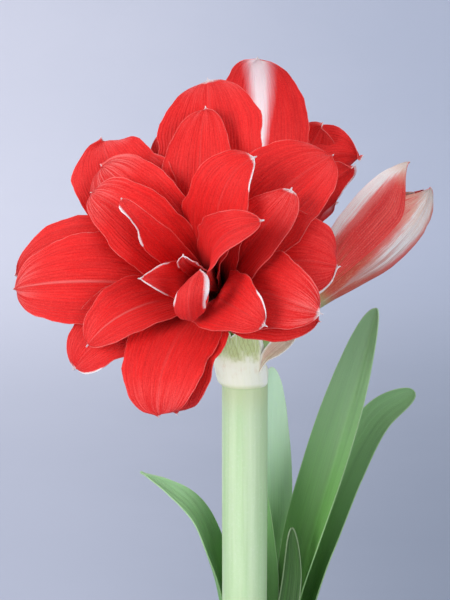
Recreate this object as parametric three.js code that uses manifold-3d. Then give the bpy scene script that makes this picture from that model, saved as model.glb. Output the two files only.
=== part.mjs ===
// Potted double amaryllis: a bulb in a clay pot, one scape with two double blooms and a half-open bud.
// Millimetres, +Z up. The origin is the middle of the pot's foot, and the front bloom faces -Y.
import * as THREE from "three";
import { mergeVertices } from "three/addons/utils/BufferGeometryUtils.js";
import Module from "manifold-3d";

// Driving dimensions
const CLEARANCE = 0.3;
const POT = {
  height: 140,
  rimRadius: 80,
  footRadius: 55,
  wall: 6,
  floor: 8,
  bandHeight: 30,
  bandProud: 4,
  edge: 1.5,
  drainHoles: 3,
  drainRadius: 5,
  drainRing: 26,
  sides: 34,
};
const COMPOST = { level: 124, crumb: 1.4, rings: 3, sides: 26 };
const BULB = { bottom: 88, top: 188, girthRadius: 46, neckRadius: 27, pocketDepth: 10, sides: 24 };
const ROOTS = { count: 5, radius: 2.8, reach: 34, lowest: 26 };
const SCAPE = { x: -8, y: -10, radius: 13, lip: 394, top: 408, collarRadius: 15.4, lean: -1.7 };
const PEDICEL = { radius: 4.4, footRing: 7, ovaryRadius: 7.6, ovaryLength: 20 };
const SPATHE = { footRadius: 14.2, topRadius: 11.6, from: -115, to: 38, rise: 22 };
const PETAL_THICKNESS = 1;
const LEAF_THICKNESS = 2;
const LEAF_TIP_THICKNESS = 1.2;
const SPATHE_THICKNESS = 0.9;
const NARROWEST_HALF = 1.2;
const FUNNEL = [[7, -3], [9, 8], [15, 20], [19, 30], [17, 36], [8, 40]];
const BUD_HEART = [[7, -3], [8, 6], [11, 18], [14, 36], [14.5, 54], [11, 72], [2.5, 88]];

// Where each flower's throat lies and where it faces: azimuth from -Y towards +X, elevation upwards;
// foot is the azimuth at which its stalk stands on the collar.
const FRONT = { throat: [-36, -85, 469], azimuth: -18, elevation: 25, tube: 45, foot: -30 };
const BACK = { throat: [2, 72, 468], azimuth: 168, elevation: 22, tube: 45, foot: 210 };
const BUD = { throat: [61, 28, 474], azimuth: 97, elevation: 47, tube: 50, foot: 90 };

// A petal grows from a claw on the tube's ring to its tip, given as [right, up, ahead] of the throat.
// swing turns its start and sway its end about the flower's axis, curl bends its end back, in degrees;
// cup is the half-angle of its cross-section in radians; pull is the length of its last bend.
const PETAL = {
  width: 50,
  widest: 0.62,
  point: 0.58,
  claw: 10,
  ring: 5,
  rise: 0.8,
  hug: 9,
  curl: 25,
  sway: 0,
  swing: 0,
  cup: 0.35,
  cupTip: 0.15,
  fold: 0,
  ruffle: 0,
  waves: 2.5,
  phase: 0,
  pull: 0.42,
};
const FRONT_PETALS = [
  { tip: [-102, -7, -2], width: 46, sway: 28, swing: -22, curl: 35, cup: 0.25, ruffle: 1.5 },
  { tip: [-98, -15, 6], width: 48, sway: -6, swing: 8, curl: 35, cup: 0.3, fold: 0.05, ruffle: 1.2 },
  { tip: [-58, -58, 2], width: 44, swing: -6, curl: 45, cup: 0.45, ruffle: 1 },
  { tip: [-47, -49, 16], width: 35, sway: 8, swing: -10, curl: 30, fold: 0.1 },
  { tip: [7, -78, 4], width: 46, sway: -10, swing: 10, curl: 60, cup: 0.2, ruffle: 1.5, point: 0.5 },
  { tip: [-2, -81, 10], width: 48, curl: 60, cup: 0.15, ruffle: 1.5, point: 0.45 },
  { tip: [70, -25, 0], width: 46, sway: 10, curl: 30, ruffle: 1.2 },
  { tip: [75, -23, 10], width: 44, curl: 40, cup: 0.3, ruffle: 1.2 },
  { tip: [52, -36, 24], width: 33, swing: -8, curl: 35, ruffle: 0.8 },
  { tip: [79, 5, 0], width: 54, sway: -10, swing: 5, curl: 40, cup: 0.2, ruffle: 1.5, point: 0.48 },
  { tip: [68, 68, 2], width: 52, curl: 30, cup: 0.3, ruffle: 0.6, point: 0.52 },
  { tip: [55, 40, 22], width: 38, sway: 40, swing: -30, curl: 20, cup: 0.7 },
  { tip: [41, 26, 32], width: 20, curl: 10, cup: 0.6 },
  { tip: [37, 53, 32], width: 46, sway: -60, swing: 22, cup: 0.3, widest: 0.55 },
  {
    tip: [50, 13, 46], width: 26, sway: -50, swing: 50, curl: 30, cup: 0.45,
    fold: 0.1, pull: 0.55, widest: 0.55,
  },
  { tip: [-6, 109, 2], width: 66, sway: 12, swing: -14, curl: 20, cup: 0.3, ruffle: 0.6, widest: 0.58 },
  { tip: [-2, 89, 12], width: 44, curl: 15, cup: 0.5, ruffle: 1, widest: 0.5, point: 0.75 },
  { tip: [-27, 84, -2], width: 34, curl: 20, cup: 0.3 },
  { tip: [-71, 62, 2], width: 52, curl: 35, cup: 0.2, ruffle: 2.2, waves: 4, point: 0.42 },
  { tip: [-59, 47, 14], width: 46, sway: 15, curl: 35, ruffle: 1, point: 0.5 },
  { tip: [-55, 34, 24], width: 40, sway: 10, curl: 40, cup: 0.5 },
  { tip: [-32, 27, 38], width: 24, curl: 40, cup: 0.3, cupLeft: 1.2, fold: 0.15 },
  { tip: [-15, -16, 38], width: 20, curl: 10, cup: 0.4, point: 0.8, claw: 7 },
  { tip: [11, -6, 46], width: 11, curl: 0, cup: 0.7, point: 0.7, claw: 6 },
  {
    tip: [19, -13, 45], width: 19, sway: 125, swing: -37, hug: 12, rise: 1, curl: -5, cup: 0.8,
    hood: true, claw: 8, point: 0.5, pull: 0.95, widest: 0.7,
  },
];
const BACK_PETALS = [
  { tip: [-9, 118, 4], width: 52, curl: 30, cup: 0.25, point: 0.5, widest: 0.6 },
  { tip: [-61, 49, 22], width: 40, swing: -38, curl: 10, cup: 0.3, ruffle: 2.5, waves: 3, pull: 0.5 },
  { tip: [-56, 36, 10], width: 42, swing: 5, curl: 35, cup: 0.3, ruffle: 1.5, waves: 3 },
  { tip: [-35, 70, 20], width: 40, curl: 30, ruffle: 1.2 },
  { tip: [20, 88, 16], width: 42, curl: 30, ruffle: 1, phase: 0.3 },
  { tip: [55, 62, 6], width: 46, curl: 35, ruffle: 1.2 },
  { tip: [62, 44, 20], width: 40, curl: 30, ruffle: 1.5, phase: 0.4 },
  { tip: [76, 8, 4], width: 48, curl: 40, cup: 0.3, ruffle: 1.4 },
  { tip: [60, -18, 20], width: 40, curl: 35, ruffle: 1.2 },
  { tip: [50, -56, 8], width: 46, curl: 45, cup: 0.3, ruffle: 1.2 },
  { tip: [28, -58, 30], width: 38, curl: 35, ruffle: 1, phase: 0.6 },
  { tip: [2, -72, 27], width: 46, curl: 40, cup: 0.3, ruffle: 1.2 },
  { tip: [-26, -50, 42], width: 40, curl: 20, cup: 0.5, ruffle: 1 },
  { tip: [-40, 4, 50], width: 42, curl: 20, cup: 0.5, ruffle: 1.2 },
  { tip: [34, 42, 36], width: 34, curl: 30, cup: 0.4 },
  { tip: [40, -6, 38], width: 32, curl: 30, cup: 0.5 },
  { tip: [12, -36, 44], width: 30, curl: 25, cup: 0.5 },
  { tip: [-20, -14, 54], width: 26, curl: 15, cup: 0.7 },
  { tip: [4, 26, 50], width: 24, curl: 15, cup: 0.8, claw: 8 },
];
const SEPAL = {
  curl: -78, cup: 1, cupTip: 0.5, rise: 0.35, ring: 4, pull: 0.75, widest: 0.52, point: 0.62,
};
const BUD_SEPALS = [
  { ...SEPAL, tip: [2, 11, 50], width: 44, hug: 33 },
  { ...SEPAL, tip: [-10, -5, 52], width: 48, hug: 30, cup: 0.95 },
  { ...SEPAL, tip: [6, -5, 47], width: 42, hug: 27 },
];
const BUD_LOBES_TURN = 22;

// A leaf follows its crease, given as points; its inner side looks to the azimuths in face, base then tip
const LEAF = { base: 0.5, tip: 0.5, cup: 0.5, cupTip: 0.3, fold: 0.15, skew: 0 };
const LEAF_SEAT = BULB.top - BULB.pocketDepth + CLEARANCE;
const LEAVES = {
  leaf_left: {
    crease: [
      [-15, 14, LEAF_SEAT], [-19, 13, 265], [-26, 12, 296], [-37, 9, 320], [-51, 5, 334], [-68, 0, 343],
    ],
    width: 24, face: [85, 62], fold: 0.2, cupTip: 0.5, tip: 0.75, base: 0.6,
  },
  leaf_back: {
    crease: [
      [-9, 15, LEAF_SEAT], [-6, 21.5, 222], [2, 28, 263], [5, 31, 310], [5, 33, 358], [7, 30, 400],
    ],
    width: 29, face: [85, 25],
  },
  leaf_hidden: {
    crease: [
      [-3, 13, LEAF_SEAT], [2.5, 14, 264], [0, 16, 300], [-3, 16, 330], [-5, 14, 355],
    ],
    width: 21, face: [85, 25], base: 0.6,
  },
  leaf_young: {
    crease: [
      [11, -7, LEAF_SEAT], [16, -8, 258], [19, -8, 285], [19, -9, 313],
    ],
    width: 13, face: [-30, 10], base: 0.8,
  },
  leaf_right: {
    crease: [
      [7.5, 14, LEAF_SEAT], [15.5, 13.5, 222], [23, 12, 265], [31, 9, 305], [41, 5, 347],
      [54, 2, 397], [66, 0, 439],
    ],
    width: 30, face: [-85, -32], cupTip: 0.15, fold: 0.35, skew: -0.2,
  },
  leaf_right_back: {
    crease: [
      [13, 14, LEAF_SEAT], [32, 18, 263], [42, 24, 298], [56, 30, 336], [73, 34, 367], [92, 36, 380],
    ],
    width: 28, face: [-85, -35], cupTip: 0.2, base: 0.55,
  },
};

// Finishes
const petalRed = new THREE.MeshStandardMaterial({ color: 0xdf2a25, roughness: 0.55, metalness: 0 });
const budPink = new THREE.MeshStandardMaterial({ color: 0xe3a09c, roughness: 0.55, metalness: 0 });
const scapeGreen = new THREE.MeshStandardMaterial({ color: 0xbfdab4, roughness: 0.5, metalness: 0 });
const pedicelGreen = new THREE.MeshStandardMaterial({ color: 0x9dbf72, roughness: 0.5, metalness: 0 });
const leafGreen = new THREE.MeshStandardMaterial({ color: 0x6fa564, roughness: 0.45, metalness: 0 });
const spathePaper = new THREE.MeshStandardMaterial({ color: 0xc9c3a2, roughness: 0.7, metalness: 0 });
const tunicBrown = new THREE.MeshStandardMaterial({ color: 0x9a6a3f, roughness: 0.7, metalness: 0 });
const clay = new THREE.MeshStandardMaterial({ color: 0xb5654a, roughness: 0.85, metalness: 0 });
const compostBrown = new THREE.MeshStandardMaterial({ color: 0x3b2a20, roughness: 0.95, metalness: 0 });

// Small maths
const wasm = await Module();
wasm.setup();
const Z = new THREE.Vector3(0, 0, 1);
const radians = THREE.MathUtils.degToRad;
const smooth = (t) => THREE.MathUtils.smoothstep(t, 0, 1);
const mix = THREE.MathUtils.lerp;
const vector = (list) => new THREE.Vector3(...list);
const turned = (v, axis, degrees) => v.clone().applyAxisAngle(axis, radians(degrees));
const along = (start, direction, distance) => start.clone().addScaledVector(direction, distance);

// A closed geometry as a solid, and a solid as a geometry
function solid(geometry) {
  const bare = geometry.clone();
  bare.deleteAttribute("normal");
  bare.deleteAttribute("uv");
  const merged = mergeVertices(bare, 1e-4);
  return new wasm.Manifold(
    new wasm.Mesh({
      numProp: 3,
      vertProperties: new Float32Array(merged.attributes.position.array),
      triVerts: new Uint32Array(merged.index.array),
    }),
  );
}

function geometryOf(body) {
  const made = body.getMesh();
  const geometry = new THREE.BufferGeometry();
  geometry.setAttribute("position", new THREE.BufferAttribute(new Float32Array(made.vertProperties), 3));
  geometry.setIndex(new THREE.BufferAttribute(new Uint32Array(made.triVerts), 1));
  return geometry;
}

const joined = (bodies) => bodies.reduce((all, body) => all.add(body));

// A turned body: the profile's points are [radius, height]; its axis stands along +Z
function turnedBody(profile, sides) {
  const points = profile.map(([radius, height]) => new THREE.Vector2(radius, height));
  return new THREE.LatheGeometry(points, sides).rotateX(Math.PI / 2);
}

// Three soft lobes on a turned body, deep as a share of its radius
function lobed(geometry, depth, turn) {
  const position = geometry.attributes.position;
  for (let i = 0; i < position.count; i += 1) {
    const angle = Math.atan2(position.getY(i), position.getX(i)) - turn;
    const lobe = 1 + depth * Math.cos(3 * angle);
    position.setXY(i, position.getX(i) * lobe, position.getY(i) * lobe);
  }
}

// A round stem along a curve, with flat ends
function stem(curve, radius, sides, steps) {
  const corners = Array.from({ length: sides }, (_, i) => {
    const angle = (2 * Math.PI * i) / sides;
    return new THREE.Vector2(radius * Math.cos(angle), radius * Math.sin(angle));
  });
  const section = new THREE.Shape(corners);
  return new THREE.ExtrudeGeometry(section, { steps, bevelEnabled: false, extrudePath: curve });
}

// A thin sheet: a grid of points thickened along its own normals, with both faces split alike
function sheet(grid, thicknessAt) {
  const rows = grid.length;
  const columns = grid[0].length;
  const positions = [];
  const index = [];
  const at = (face, i, j) => face * rows * columns + i * columns + j;
  for (const side of [1, -1]) {
    for (let i = 0; i < rows; i += 1) {
      for (let j = 0; j < columns; j += 1) {
        const down = grid[Math.min(i + 1, rows - 1)][j].clone().sub(grid[Math.max(i - 1, 0)][j]);
        const across = grid[i][Math.min(j + 1, columns - 1)].clone().sub(grid[i][Math.max(j - 1, 0)]);
        const normal = down.cross(across).normalize();
        positions.push(...along(grid[i][j], normal, (side * thicknessAt(i / (rows - 1))) / 2));
      }
    }
  }
  const quad = (a, b, c, d) => index.push(a, b, c, a, c, d);
  const lastRow = rows - 1;
  const lastColumn = columns - 1;
  for (let i = 0; i < lastRow; i += 1) {
    for (let j = 0; j < lastColumn; j += 1) {
      quad(at(0, i, j), at(0, i + 1, j), at(0, i + 1, j + 1), at(0, i, j + 1));
      quad(at(1, i + 1, j + 1), at(1, i + 1, j), at(1, i, j), at(1, i, j + 1));
    }
    quad(at(0, i, 0), at(1, i, 0), at(1, i + 1, 0), at(0, i + 1, 0));
    quad(at(0, i + 1, lastColumn), at(1, i + 1, lastColumn), at(1, i, lastColumn), at(0, i, lastColumn));
  }
  for (let j = 0; j < lastColumn; j += 1) {
    quad(at(0, 0, j + 1), at(1, 0, j + 1), at(1, 0, j), at(0, 0, j));
    quad(at(0, lastRow, j), at(1, lastRow, j), at(1, lastRow, j + 1), at(0, lastRow, j + 1));
  }
  const geometry = new THREE.BufferGeometry();
  geometry.setAttribute("position", new THREE.Float32BufferAttribute(positions, 3));
  geometry.setIndex(index);
  return geometry;
}

// A flower's own frame: its throat, its axis, and what lies right of and above it, seen from ahead
function flowerFrame({ throat, azimuth, elevation, tube }) {
  const flat = Math.cos(radians(elevation));
  const axis = vector([
    Math.sin(radians(azimuth)) * flat,
    -Math.cos(radians(azimuth)) * flat,
    Math.sin(radians(elevation)),
  ]);
  const right = Z.clone().cross(axis).normalize();
  const up = axis.clone().cross(right);
  const root = along(vector(throat), axis, -tube);
  return { throat: vector(throat), axis, right, up, root, tube };
}

// The share of a petal's full width at u, from its claw through its widest place to its tip
function petalOutline(p, u) {
  const claw = p.claw / p.width;
  if (u < p.widest) return claw + (1 - claw) * Math.sin((Math.PI / 2) * (u / p.widest)) ** 1.4;
  return (1 - ((u - p.widest) / (1 - p.widest)) ** 2) ** p.point;
}

// A petal's surface as a grid: u runs from claw to tip and v from edge to edge
function petalGrid(flower, petal, rows, columns) {
  const p = { ...PETAL, ...petal };
  const [right, up, ahead] = p.tip;
  const { axis, root, tube } = flower;
  const outward = flower.right.clone().multiplyScalar(right).addScaledVector(flower.up, up).normalize();
  const start = turned(outward, axis, p.swing);
  const end = along(flower.throat, axis, ahead);
  end.addScaledVector(flower.right, right).addScaledVector(flower.up, up);
  const bend = outward.clone().multiplyScalar(Math.cos(radians(p.curl)));
  bend.addScaledVector(axis, -Math.sin(radians(p.curl))).applyAxisAngle(axis, radians(p.sway));
  const midrib = new THREE.CubicBezierCurve3(
    along(root, start, p.ring),
    along(along(root, axis, tube * p.rise), start, p.hug),
    along(end, bend, -end.distanceTo(flower.throat) * p.pull),
    end,
  );
  midrib.arcLengthDivisions = 400;
  const acrossStart = axis.clone().cross(start);
  const acrossEnd = p.hood ? acrossStart : axis.clone().cross(outward);
  const wrap = (p.claw / 2 / p.ring) * 0.8;
  const grid = [];
  for (let i = 0; i <= rows; i += 1) {
    const u = 1 - (1 - i / rows) ** 1.3;
    const middle = midrib.getPointAt(u);
    const tangent = midrib.getTangentAt(u);
    const across = acrossStart.clone().lerp(acrossEnd, smooth(u / 0.5));
    across.addScaledVector(tangent, -across.dot(tangent)).normalize();
    const inner = tangent.clone().cross(across);
    const half = Math.max((p.width / 2) * petalOutline(p, u), NARROWEST_HALF);
    const line = [];
    for (let j = 0; j <= columns; j += 1) {
      const v = (2 * j) / columns - 1;
      const own = v < 0 ? p.cupLeft : undefined;
      const body = mix(wrap, own ?? p.cup, smooth(u / 0.35));
      const angle = mix(body, own ?? p.cupTip, smooth((u - 0.55) / 0.45));
      const wave = Math.sin(2 * Math.PI * (p.waves * u + p.phase + 0.23 * Math.sign(v)));
      const lift =
        (half / angle) * (1 - Math.cos(v * angle)) +
        p.fold * half * (Math.sqrt(v * v + 0.01) - 0.1) +
        p.ruffle * Math.abs(v) ** 2.5 * wave * smooth(u / 0.4);
      line.push(along(along(middle, across, (half / angle) * Math.sin(v * angle)), inner, lift));
    }
    grid.push(line);
  }
  return grid;
}

// A petal as a blade, with fewer strips on a narrower one
function blade(flower, petal) {
  const columns = petal.width < 30 ? 2 : petal.width < 45 ? 3 : 4;
  return solid(sheet(petalGrid(flower, petal, petal.width < 25 ? 4 : 6, columns), () => PETAL_THICKNESS));
}

// A body in a flower's frame: its foot at the root, its axis along the flower's
function standingOn(flower, geometry) {
  geometry.applyQuaternion(new THREE.Quaternion().setFromUnitVectors(Z, flower.axis));
  return solid(geometry.translate(...flower.root));
}

// Pieces fused into one body; the loose scraps and sealed hollows that fusing leaves are dropped
function fused(bodies) {
  return joined(bodies)
    .decompose()
    .reduce((best, body) => (body.volume() > best.volume() ? body : best));
}

// A bloom: petals fused by their claws in the funnel of the tube
function bloomMesh(place, petals, name) {
  const flower = flowerFrame(place);
  const funnel = turnedBody([[0, FUNNEL[0][1]], ...FUNNEL, [0, FUNNEL.at(-1)[1]]], 14);
  const blades = petals.map((petal) => blade(flower, petal));
  const mesh = new THREE.Mesh(geometryOf(fused([standingOn(flower, funnel), ...blades])), petalRed);
  mesh.name = name;
  return mesh;
}

// The half-open bud: three parted sepals round inner petals that are still rolled into one heart
function budMesh(place, name) {
  const flower = flowerFrame(place);
  const heart = turnedBody([[0, BUD_HEART[0][1]], ...BUD_HEART, [0, BUD_HEART.at(-1)[1] + 1.5]], 18);
  lobed(heart, 0.07, radians(BUD_LOBES_TURN));
  const sepals = BUD_SEPALS.map((sepal) => blade(flower, sepal));
  const mesh = new THREE.Mesh(geometryOf(fused([standingOn(flower, heart), ...sepals])), budPink);
  mesh.name = name;
  return mesh;
}

// A flower's stalk: it stands on the collar, bends to the flower's axis and ends in the three-lobed ovary
function pedicel(place, name) {
  const { axis, root } = flowerFrame(place);
  const seat = along(root, axis, FUNNEL[0][1] - CLEARANCE);
  const neck = along(seat, axis, -PEDICEL.ovaryLength);
  const turn = radians(place.foot);
  const foot = vector([
    SCAPE.x + SCAPE.lean + PEDICEL.footRing * Math.sin(turn),
    SCAPE.y - PEDICEL.footRing * Math.cos(turn),
    SCAPE.top + CLEARANCE,
  ]);
  const bend = foot.distanceTo(neck) * 0.45;
  const curve = new THREE.CubicBezierCurve3(
    foot,
    along(foot, Z, bend),
    along(neck, axis, -bend),
    along(neck, axis, 4),
  );
  const { radius, ovaryRadius, ovaryLength } = PEDICEL;
  const ovary = turnedBody(
    [
      [0, 0],
      [radius + 0.4, 0],
      [ovaryRadius - 1, 0.2 * ovaryLength],
      [ovaryRadius, 0.5 * ovaryLength],
      [ovaryRadius - 0.4, 0.8 * ovaryLength],
      [ovaryRadius - 1.4, ovaryLength],
      [0, ovaryLength],
    ],
    12,
  );
  lobed(ovary, 0.08, 0);
  ovary.applyQuaternion(new THREE.Quaternion().setFromUnitVectors(Z, axis));
  ovary.translate(...neck);
  const body = joined([solid(stem(curve, radius, 8, 7)), solid(ovary)]);
  const mesh = new THREE.Mesh(geometryOf(body), pedicelGreen);
  mesh.name = name;
  return mesh;
}

// A leaf's surface along its crease; for the pocket that it fits, grow widens it and below lengthens it
function leafGrid(leaf, rows, { grow = 0, below = 0, reach = 1 } = {}) {
  const p = { ...LEAF, ...leaf };
  const crease = new THREE.CatmullRomCurve3(p.crease.map(vector), false, "centripetal");
  crease.arcLengthDivisions = 300;
  const grid = [];
  for (let i = 0; i <= rows; i += 1) {
    const u = reach * (1 - (1 - i / rows) ** 1.2);
    const tangent = crease.getTangentAt(u);
    const middle = along(crease.getPointAt(u), tangent, i === 0 ? -below : 0);
    const facing = radians(mix(p.face[0], p.face[1], smooth(u / 0.8)));
    const inner = vector([Math.sin(facing), -Math.cos(facing), 0]);
    inner.addScaledVector(tangent, -inner.dot(tangent)).normalize();
    const across = inner.clone().cross(tangent);
    const outline = u < 0.5 ? mix(p.base, 1, smooth(u / 0.5)) : (1 - (2 * u - 1) ** 2.4) ** p.tip;
    const angle = mix(p.cup, p.cupTip, smooth(u / 0.7));
    const line = [];
    for (let j = 0; j <= 4; j += 1) {
      const v = j / 2 - 1;
      const side = (p.width / 2) * outline * (1 - Math.sign(v) * p.skew);
      const half = Math.max(side, NARROWEST_HALF) + grow;
      const fold = p.fold * smooth(u / 0.4) * half * (Math.sqrt(v * v + 0.02) - 0.14);
      const rise = (half / angle) * (1 - Math.cos(v * angle)) + fold;
      line.push(along(along(middle, across, (half / angle) * Math.sin(v * angle)), inner, rise));
    }
    grid.push(line);
  }
  return grid;
}

function leafMesh(name) {
  const grid = leafGrid(LEAVES[name], 11);
  const mesh = new THREE.Mesh(sheet(grid, (u) => mix(LEAF_THICKNESS, LEAF_TIP_THICKNESS, u)), leafGreen);
  mesh.name = name;
  return mesh;
}

// The bulb's outline: a broad shoulder, a basal plate below and a neck above; grow offsets it outwards
function bulbProfile(grow = 0) {
  const { bottom, top, girthRadius, neckRadius } = BULB;
  const outline = new THREE.SplineCurve(
    [
      [20, bottom],
      [girthRadius - 8, bottom + 11],
      [girthRadius, bottom + 32],
      [girthRadius - 1.5, bottom + 52],
      [girthRadius - 10, bottom + 70],
      [neckRadius + 2, bottom + 84],
      [neckRadius, top],
    ].map((point) => new THREE.Vector2(...point)),
  );
  const points = outline.getPoints(9).map(({ x, y }) => [x + grow, y]);
  points[0][1] -= grow;
  return [[0, bottom - grow], ...points, [0, top]];
}

function roots(grow = 0) {
  const made = [];
  for (let i = 0; i < ROOTS.count; i += 1) {
    const angle = (2 * Math.PI * (i + 0.3 * Math.sin(5 * i))) / ROOTS.count;
    const at = (radius, height, turn = 0) =>
      vector([radius * Math.cos(angle + turn), radius * Math.sin(angle + turn), height]);
    const end = ROOTS.lowest + 7 * Math.sin(3 * i);
    const path = new THREE.CatmullRomCurve3([
      at(12, BULB.bottom + 6),
      at(20, BULB.bottom - 12, 0.2),
      at(ROOTS.reach, (BULB.bottom + end) / 2, 0.1),
      at(ROOTS.reach - 4, end - grow, 0.45),
    ]);
    made.push(solid(stem(path, ROOTS.radius + grow, 6, 6)));
  }
  return joined(made);
}

// The bulb with its roots below, and pockets in the neck that the scape and the leaves grow from
function bulbMesh() {
  const floor = BULB.top - BULB.pocketDepth;
  const above = BULB.top + 10;
  const seatRadius = SCAPE.radius + CLEARANCE;
  const scapeSeat = turnedBody([[0, floor], [seatRadius, floor], [seatRadius, above], [0, above]], 24);
  scapeSeat.translate(SCAPE.x, SCAPE.y, 0);
  const leafSeats = Object.values(LEAVES).map((leaf) => {
    const grid = leafGrid(leaf, 2, { grow: CLEARANCE, below: CLEARANCE, reach: 0.14 });
    return solid(sheet(grid, () => LEAF_THICKNESS + 2 * CLEARANCE));
  });
  const body = joined([solid(turnedBody(bulbProfile(), BULB.sides)), roots()]);
  const pockets = joined([solid(scapeSeat), ...leafSeats]);
  const mesh = new THREE.Mesh(geometryOf(body.subtract(pockets)), tunicBrown);
  mesh.name = "bulb";
  return mesh;
}

// The pot's inner radius at a height
function potInner(height) {
  const share = (height - POT.floor) / (POT.height - POT.floor);
  return mix(POT.footRadius - POT.wall, POT.rimRadius - POT.wall, share);
}

function potMesh() {
  const { height, rimRadius, footRadius, wall, floor, bandHeight, bandProud, edge } = POT;
  const bandFoot = height - bandHeight;
  const underBand = mix(footRadius, rimRadius - bandProud, bandFoot / height);
  const profile = [
    [0, 0],
    [footRadius - edge, 0],
    [footRadius, edge],
    [underBand, bandFoot],
    [rimRadius - edge, bandFoot + edge],
    [rimRadius, height - edge],
    [rimRadius - edge, height],
    [rimRadius - wall + edge, height],
    [rimRadius - wall, height - edge],
    [footRadius - wall + 2, floor + 2],
    [footRadius - wall - 2, floor],
    [0, floor],
  ];
  const drains = Array.from({ length: POT.drainHoles }, (_, i) => {
    const turn = (2 * Math.PI * i) / POT.drainHoles;
    const hole = new THREE.CylinderGeometry(POT.drainRadius, POT.drainRadius, 3 * floor, 8);
    hole.rotateX(Math.PI / 2);
    return solid(hole.translate(POT.drainRing * Math.cos(turn), POT.drainRing * Math.sin(turn), 0));
  });
  const body = solid(turnedBody(profile, POT.sides)).subtract(joined(drains));
  const mesh = new THREE.Mesh(geometryOf(body), clay);
  mesh.name = "pot";
  return mesh;
}

// The compost: it fills the pot to its level, with a crumbly top, round the bulb and its roots
function compostMesh() {
  const { level, crumb, rings, sides } = COMPOST;
  const floor = POT.floor + CLEARANCE;
  const rim = potInner(level) - 2 * CLEARANCE;
  const profile = [[0, floor], [POT.footRadius - POT.wall - 2.6, floor], [rim, level]];
  for (let i = rings - 1; i >= 0; i -= 1) profile.push([(rim * i) / rings, level]);
  const body = turnedBody(profile, sides);
  const position = body.attributes.position;
  for (let i = 0; i < position.count; i += 1) {
    const x = position.getX(i);
    const y = position.getY(i);
    const onTop = position.getZ(i) > level - 1;
    const coarse = Math.sin(0.37 * x + 1.3) * Math.cos(0.41 * y);
    const fine = Math.sin(0.19 * x * Math.cos(0.05 * y) - 0.3 * y);
    if (onTop) position.setZ(i, level + crumb * (coarse + 0.6 * fine));
  }
  const hollow = joined([solid(turnedBody(bulbProfile(CLEARANCE), BULB.sides)), roots(CLEARANCE)]);
  const mesh = new THREE.Mesh(geometryOf(solid(body).subtract(hollow)), compostBrown);
  mesh.name = "compost";
  return mesh;
}

// The scape: a stout round stalk, with the swollen collar that carries pedicels and spathe
function scapeMesh() {
  const { x, y, radius, lip, top, collarRadius, lean } = SCAPE;
  const foot = BULB.top - BULB.pocketDepth + CLEARANCE;
  const body = turnedBody(
    [
      [0, foot],
      [radius - 0.6, foot],
      [radius - 0.2, mix(foot, lip, 0.4)],
      [radius, mix(foot, lip, 0.75)],
      [radius + 0.1, lip - 1],
      [radius + 1.1, lip],
      [radius + 1.7, lip + 4],
      [collarRadius, lip + 11],
      [collarRadius, top - 1],
      [collarRadius - 1, top],
      [0, top],
    ],
    20,
  );
  const position = body.attributes.position;
  for (let i = 0; i < position.count; i += 1) {
    const share = Math.max(position.getZ(i) - lip, 0) / (top - lip);
    position.setX(i, position.getX(i) + lean * share);
  }
  const mesh = new THREE.Mesh(body, scapeGreen);
  mesh.name = "scape";
  mesh.position.set(x, y, 0);
  return mesh;
}

// The front valve of the spathe: a papery sheet that wraps the pedicels' feet, with a ragged top
function spatheFrontMesh() {
  const { footRadius, topRadius, from, to } = SPATHE;
  const grid = [];
  for (let i = 0; i <= 5; i += 1) {
    const h = i / 5;
    const line = [];
    for (let j = 0; j <= 10; j += 1) {
      const turn = radians(mix(from, to, j / 10));
      const radius = mix(footRadius, topRadius, smooth(h)) + 0.3 * Math.sin(3 * turn) * h;
      const rise = SPATHE.rise + 2.5 * Math.sin(4.2 * turn) + 1.5 * Math.cos(9 * turn);
      line.push(
        vector([
          SCAPE.x + SCAPE.lean - 2 * h * h + radius * Math.sin(turn),
          SCAPE.y - 5 * h * h - radius * Math.cos(turn),
          SCAPE.top + CLEARANCE + rise * h,
        ]),
      );
    }
    grid.push(line);
  }
  const mesh = new THREE.Mesh(sheet(grid, () => SPATHE_THICKNESS), spathePaper);
  mesh.name = "spathe_front";
  return mesh;
}

// The side valve of the spathe: a papery blade that leans out to the right
function spatheSideMesh() {
  const foot = SCAPE.top + CLEARANCE;
  const blade = {
    crease: [
      [2.6, -17.5, foot], [5, -19, foot + 7], [11, -20, foot + 18],
      [18, -19, foot + 29], [25, -17, foot + 38],
    ],
    width: 17, face: [-70, -40], cup: 0.8, cupTip: 0.5, fold: 0.2, base: 0.35, tip: 0.8,
  };
  const mesh = new THREE.Mesh(sheet(leafGrid(blade, 7), () => SPATHE_THICKNESS), spathePaper);
  mesh.name = "spathe_side";
  return mesh;
}

const amaryllis = new THREE.Group();
amaryllis.add(
  potMesh(),
  compostMesh(),
  bulbMesh(),
  scapeMesh(),
  spatheFrontMesh(),
  spatheSideMesh(),
  pedicel(FRONT, "pedicel_front"),
  pedicel(BACK, "pedicel_back"),
  pedicel(BUD, "pedicel_bud"),
  bloomMesh(FRONT, FRONT_PETALS, "bloom_front"),
  bloomMesh(BACK, BACK_PETALS, "bloom_back"),
  budMesh(BUD, "bud"),
  ...Object.keys(LEAVES).map(leafMesh),
);

export default amaryllis;
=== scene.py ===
"""Potted double amaryllis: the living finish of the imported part, its stage, its light and its camera."""

import math

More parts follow.
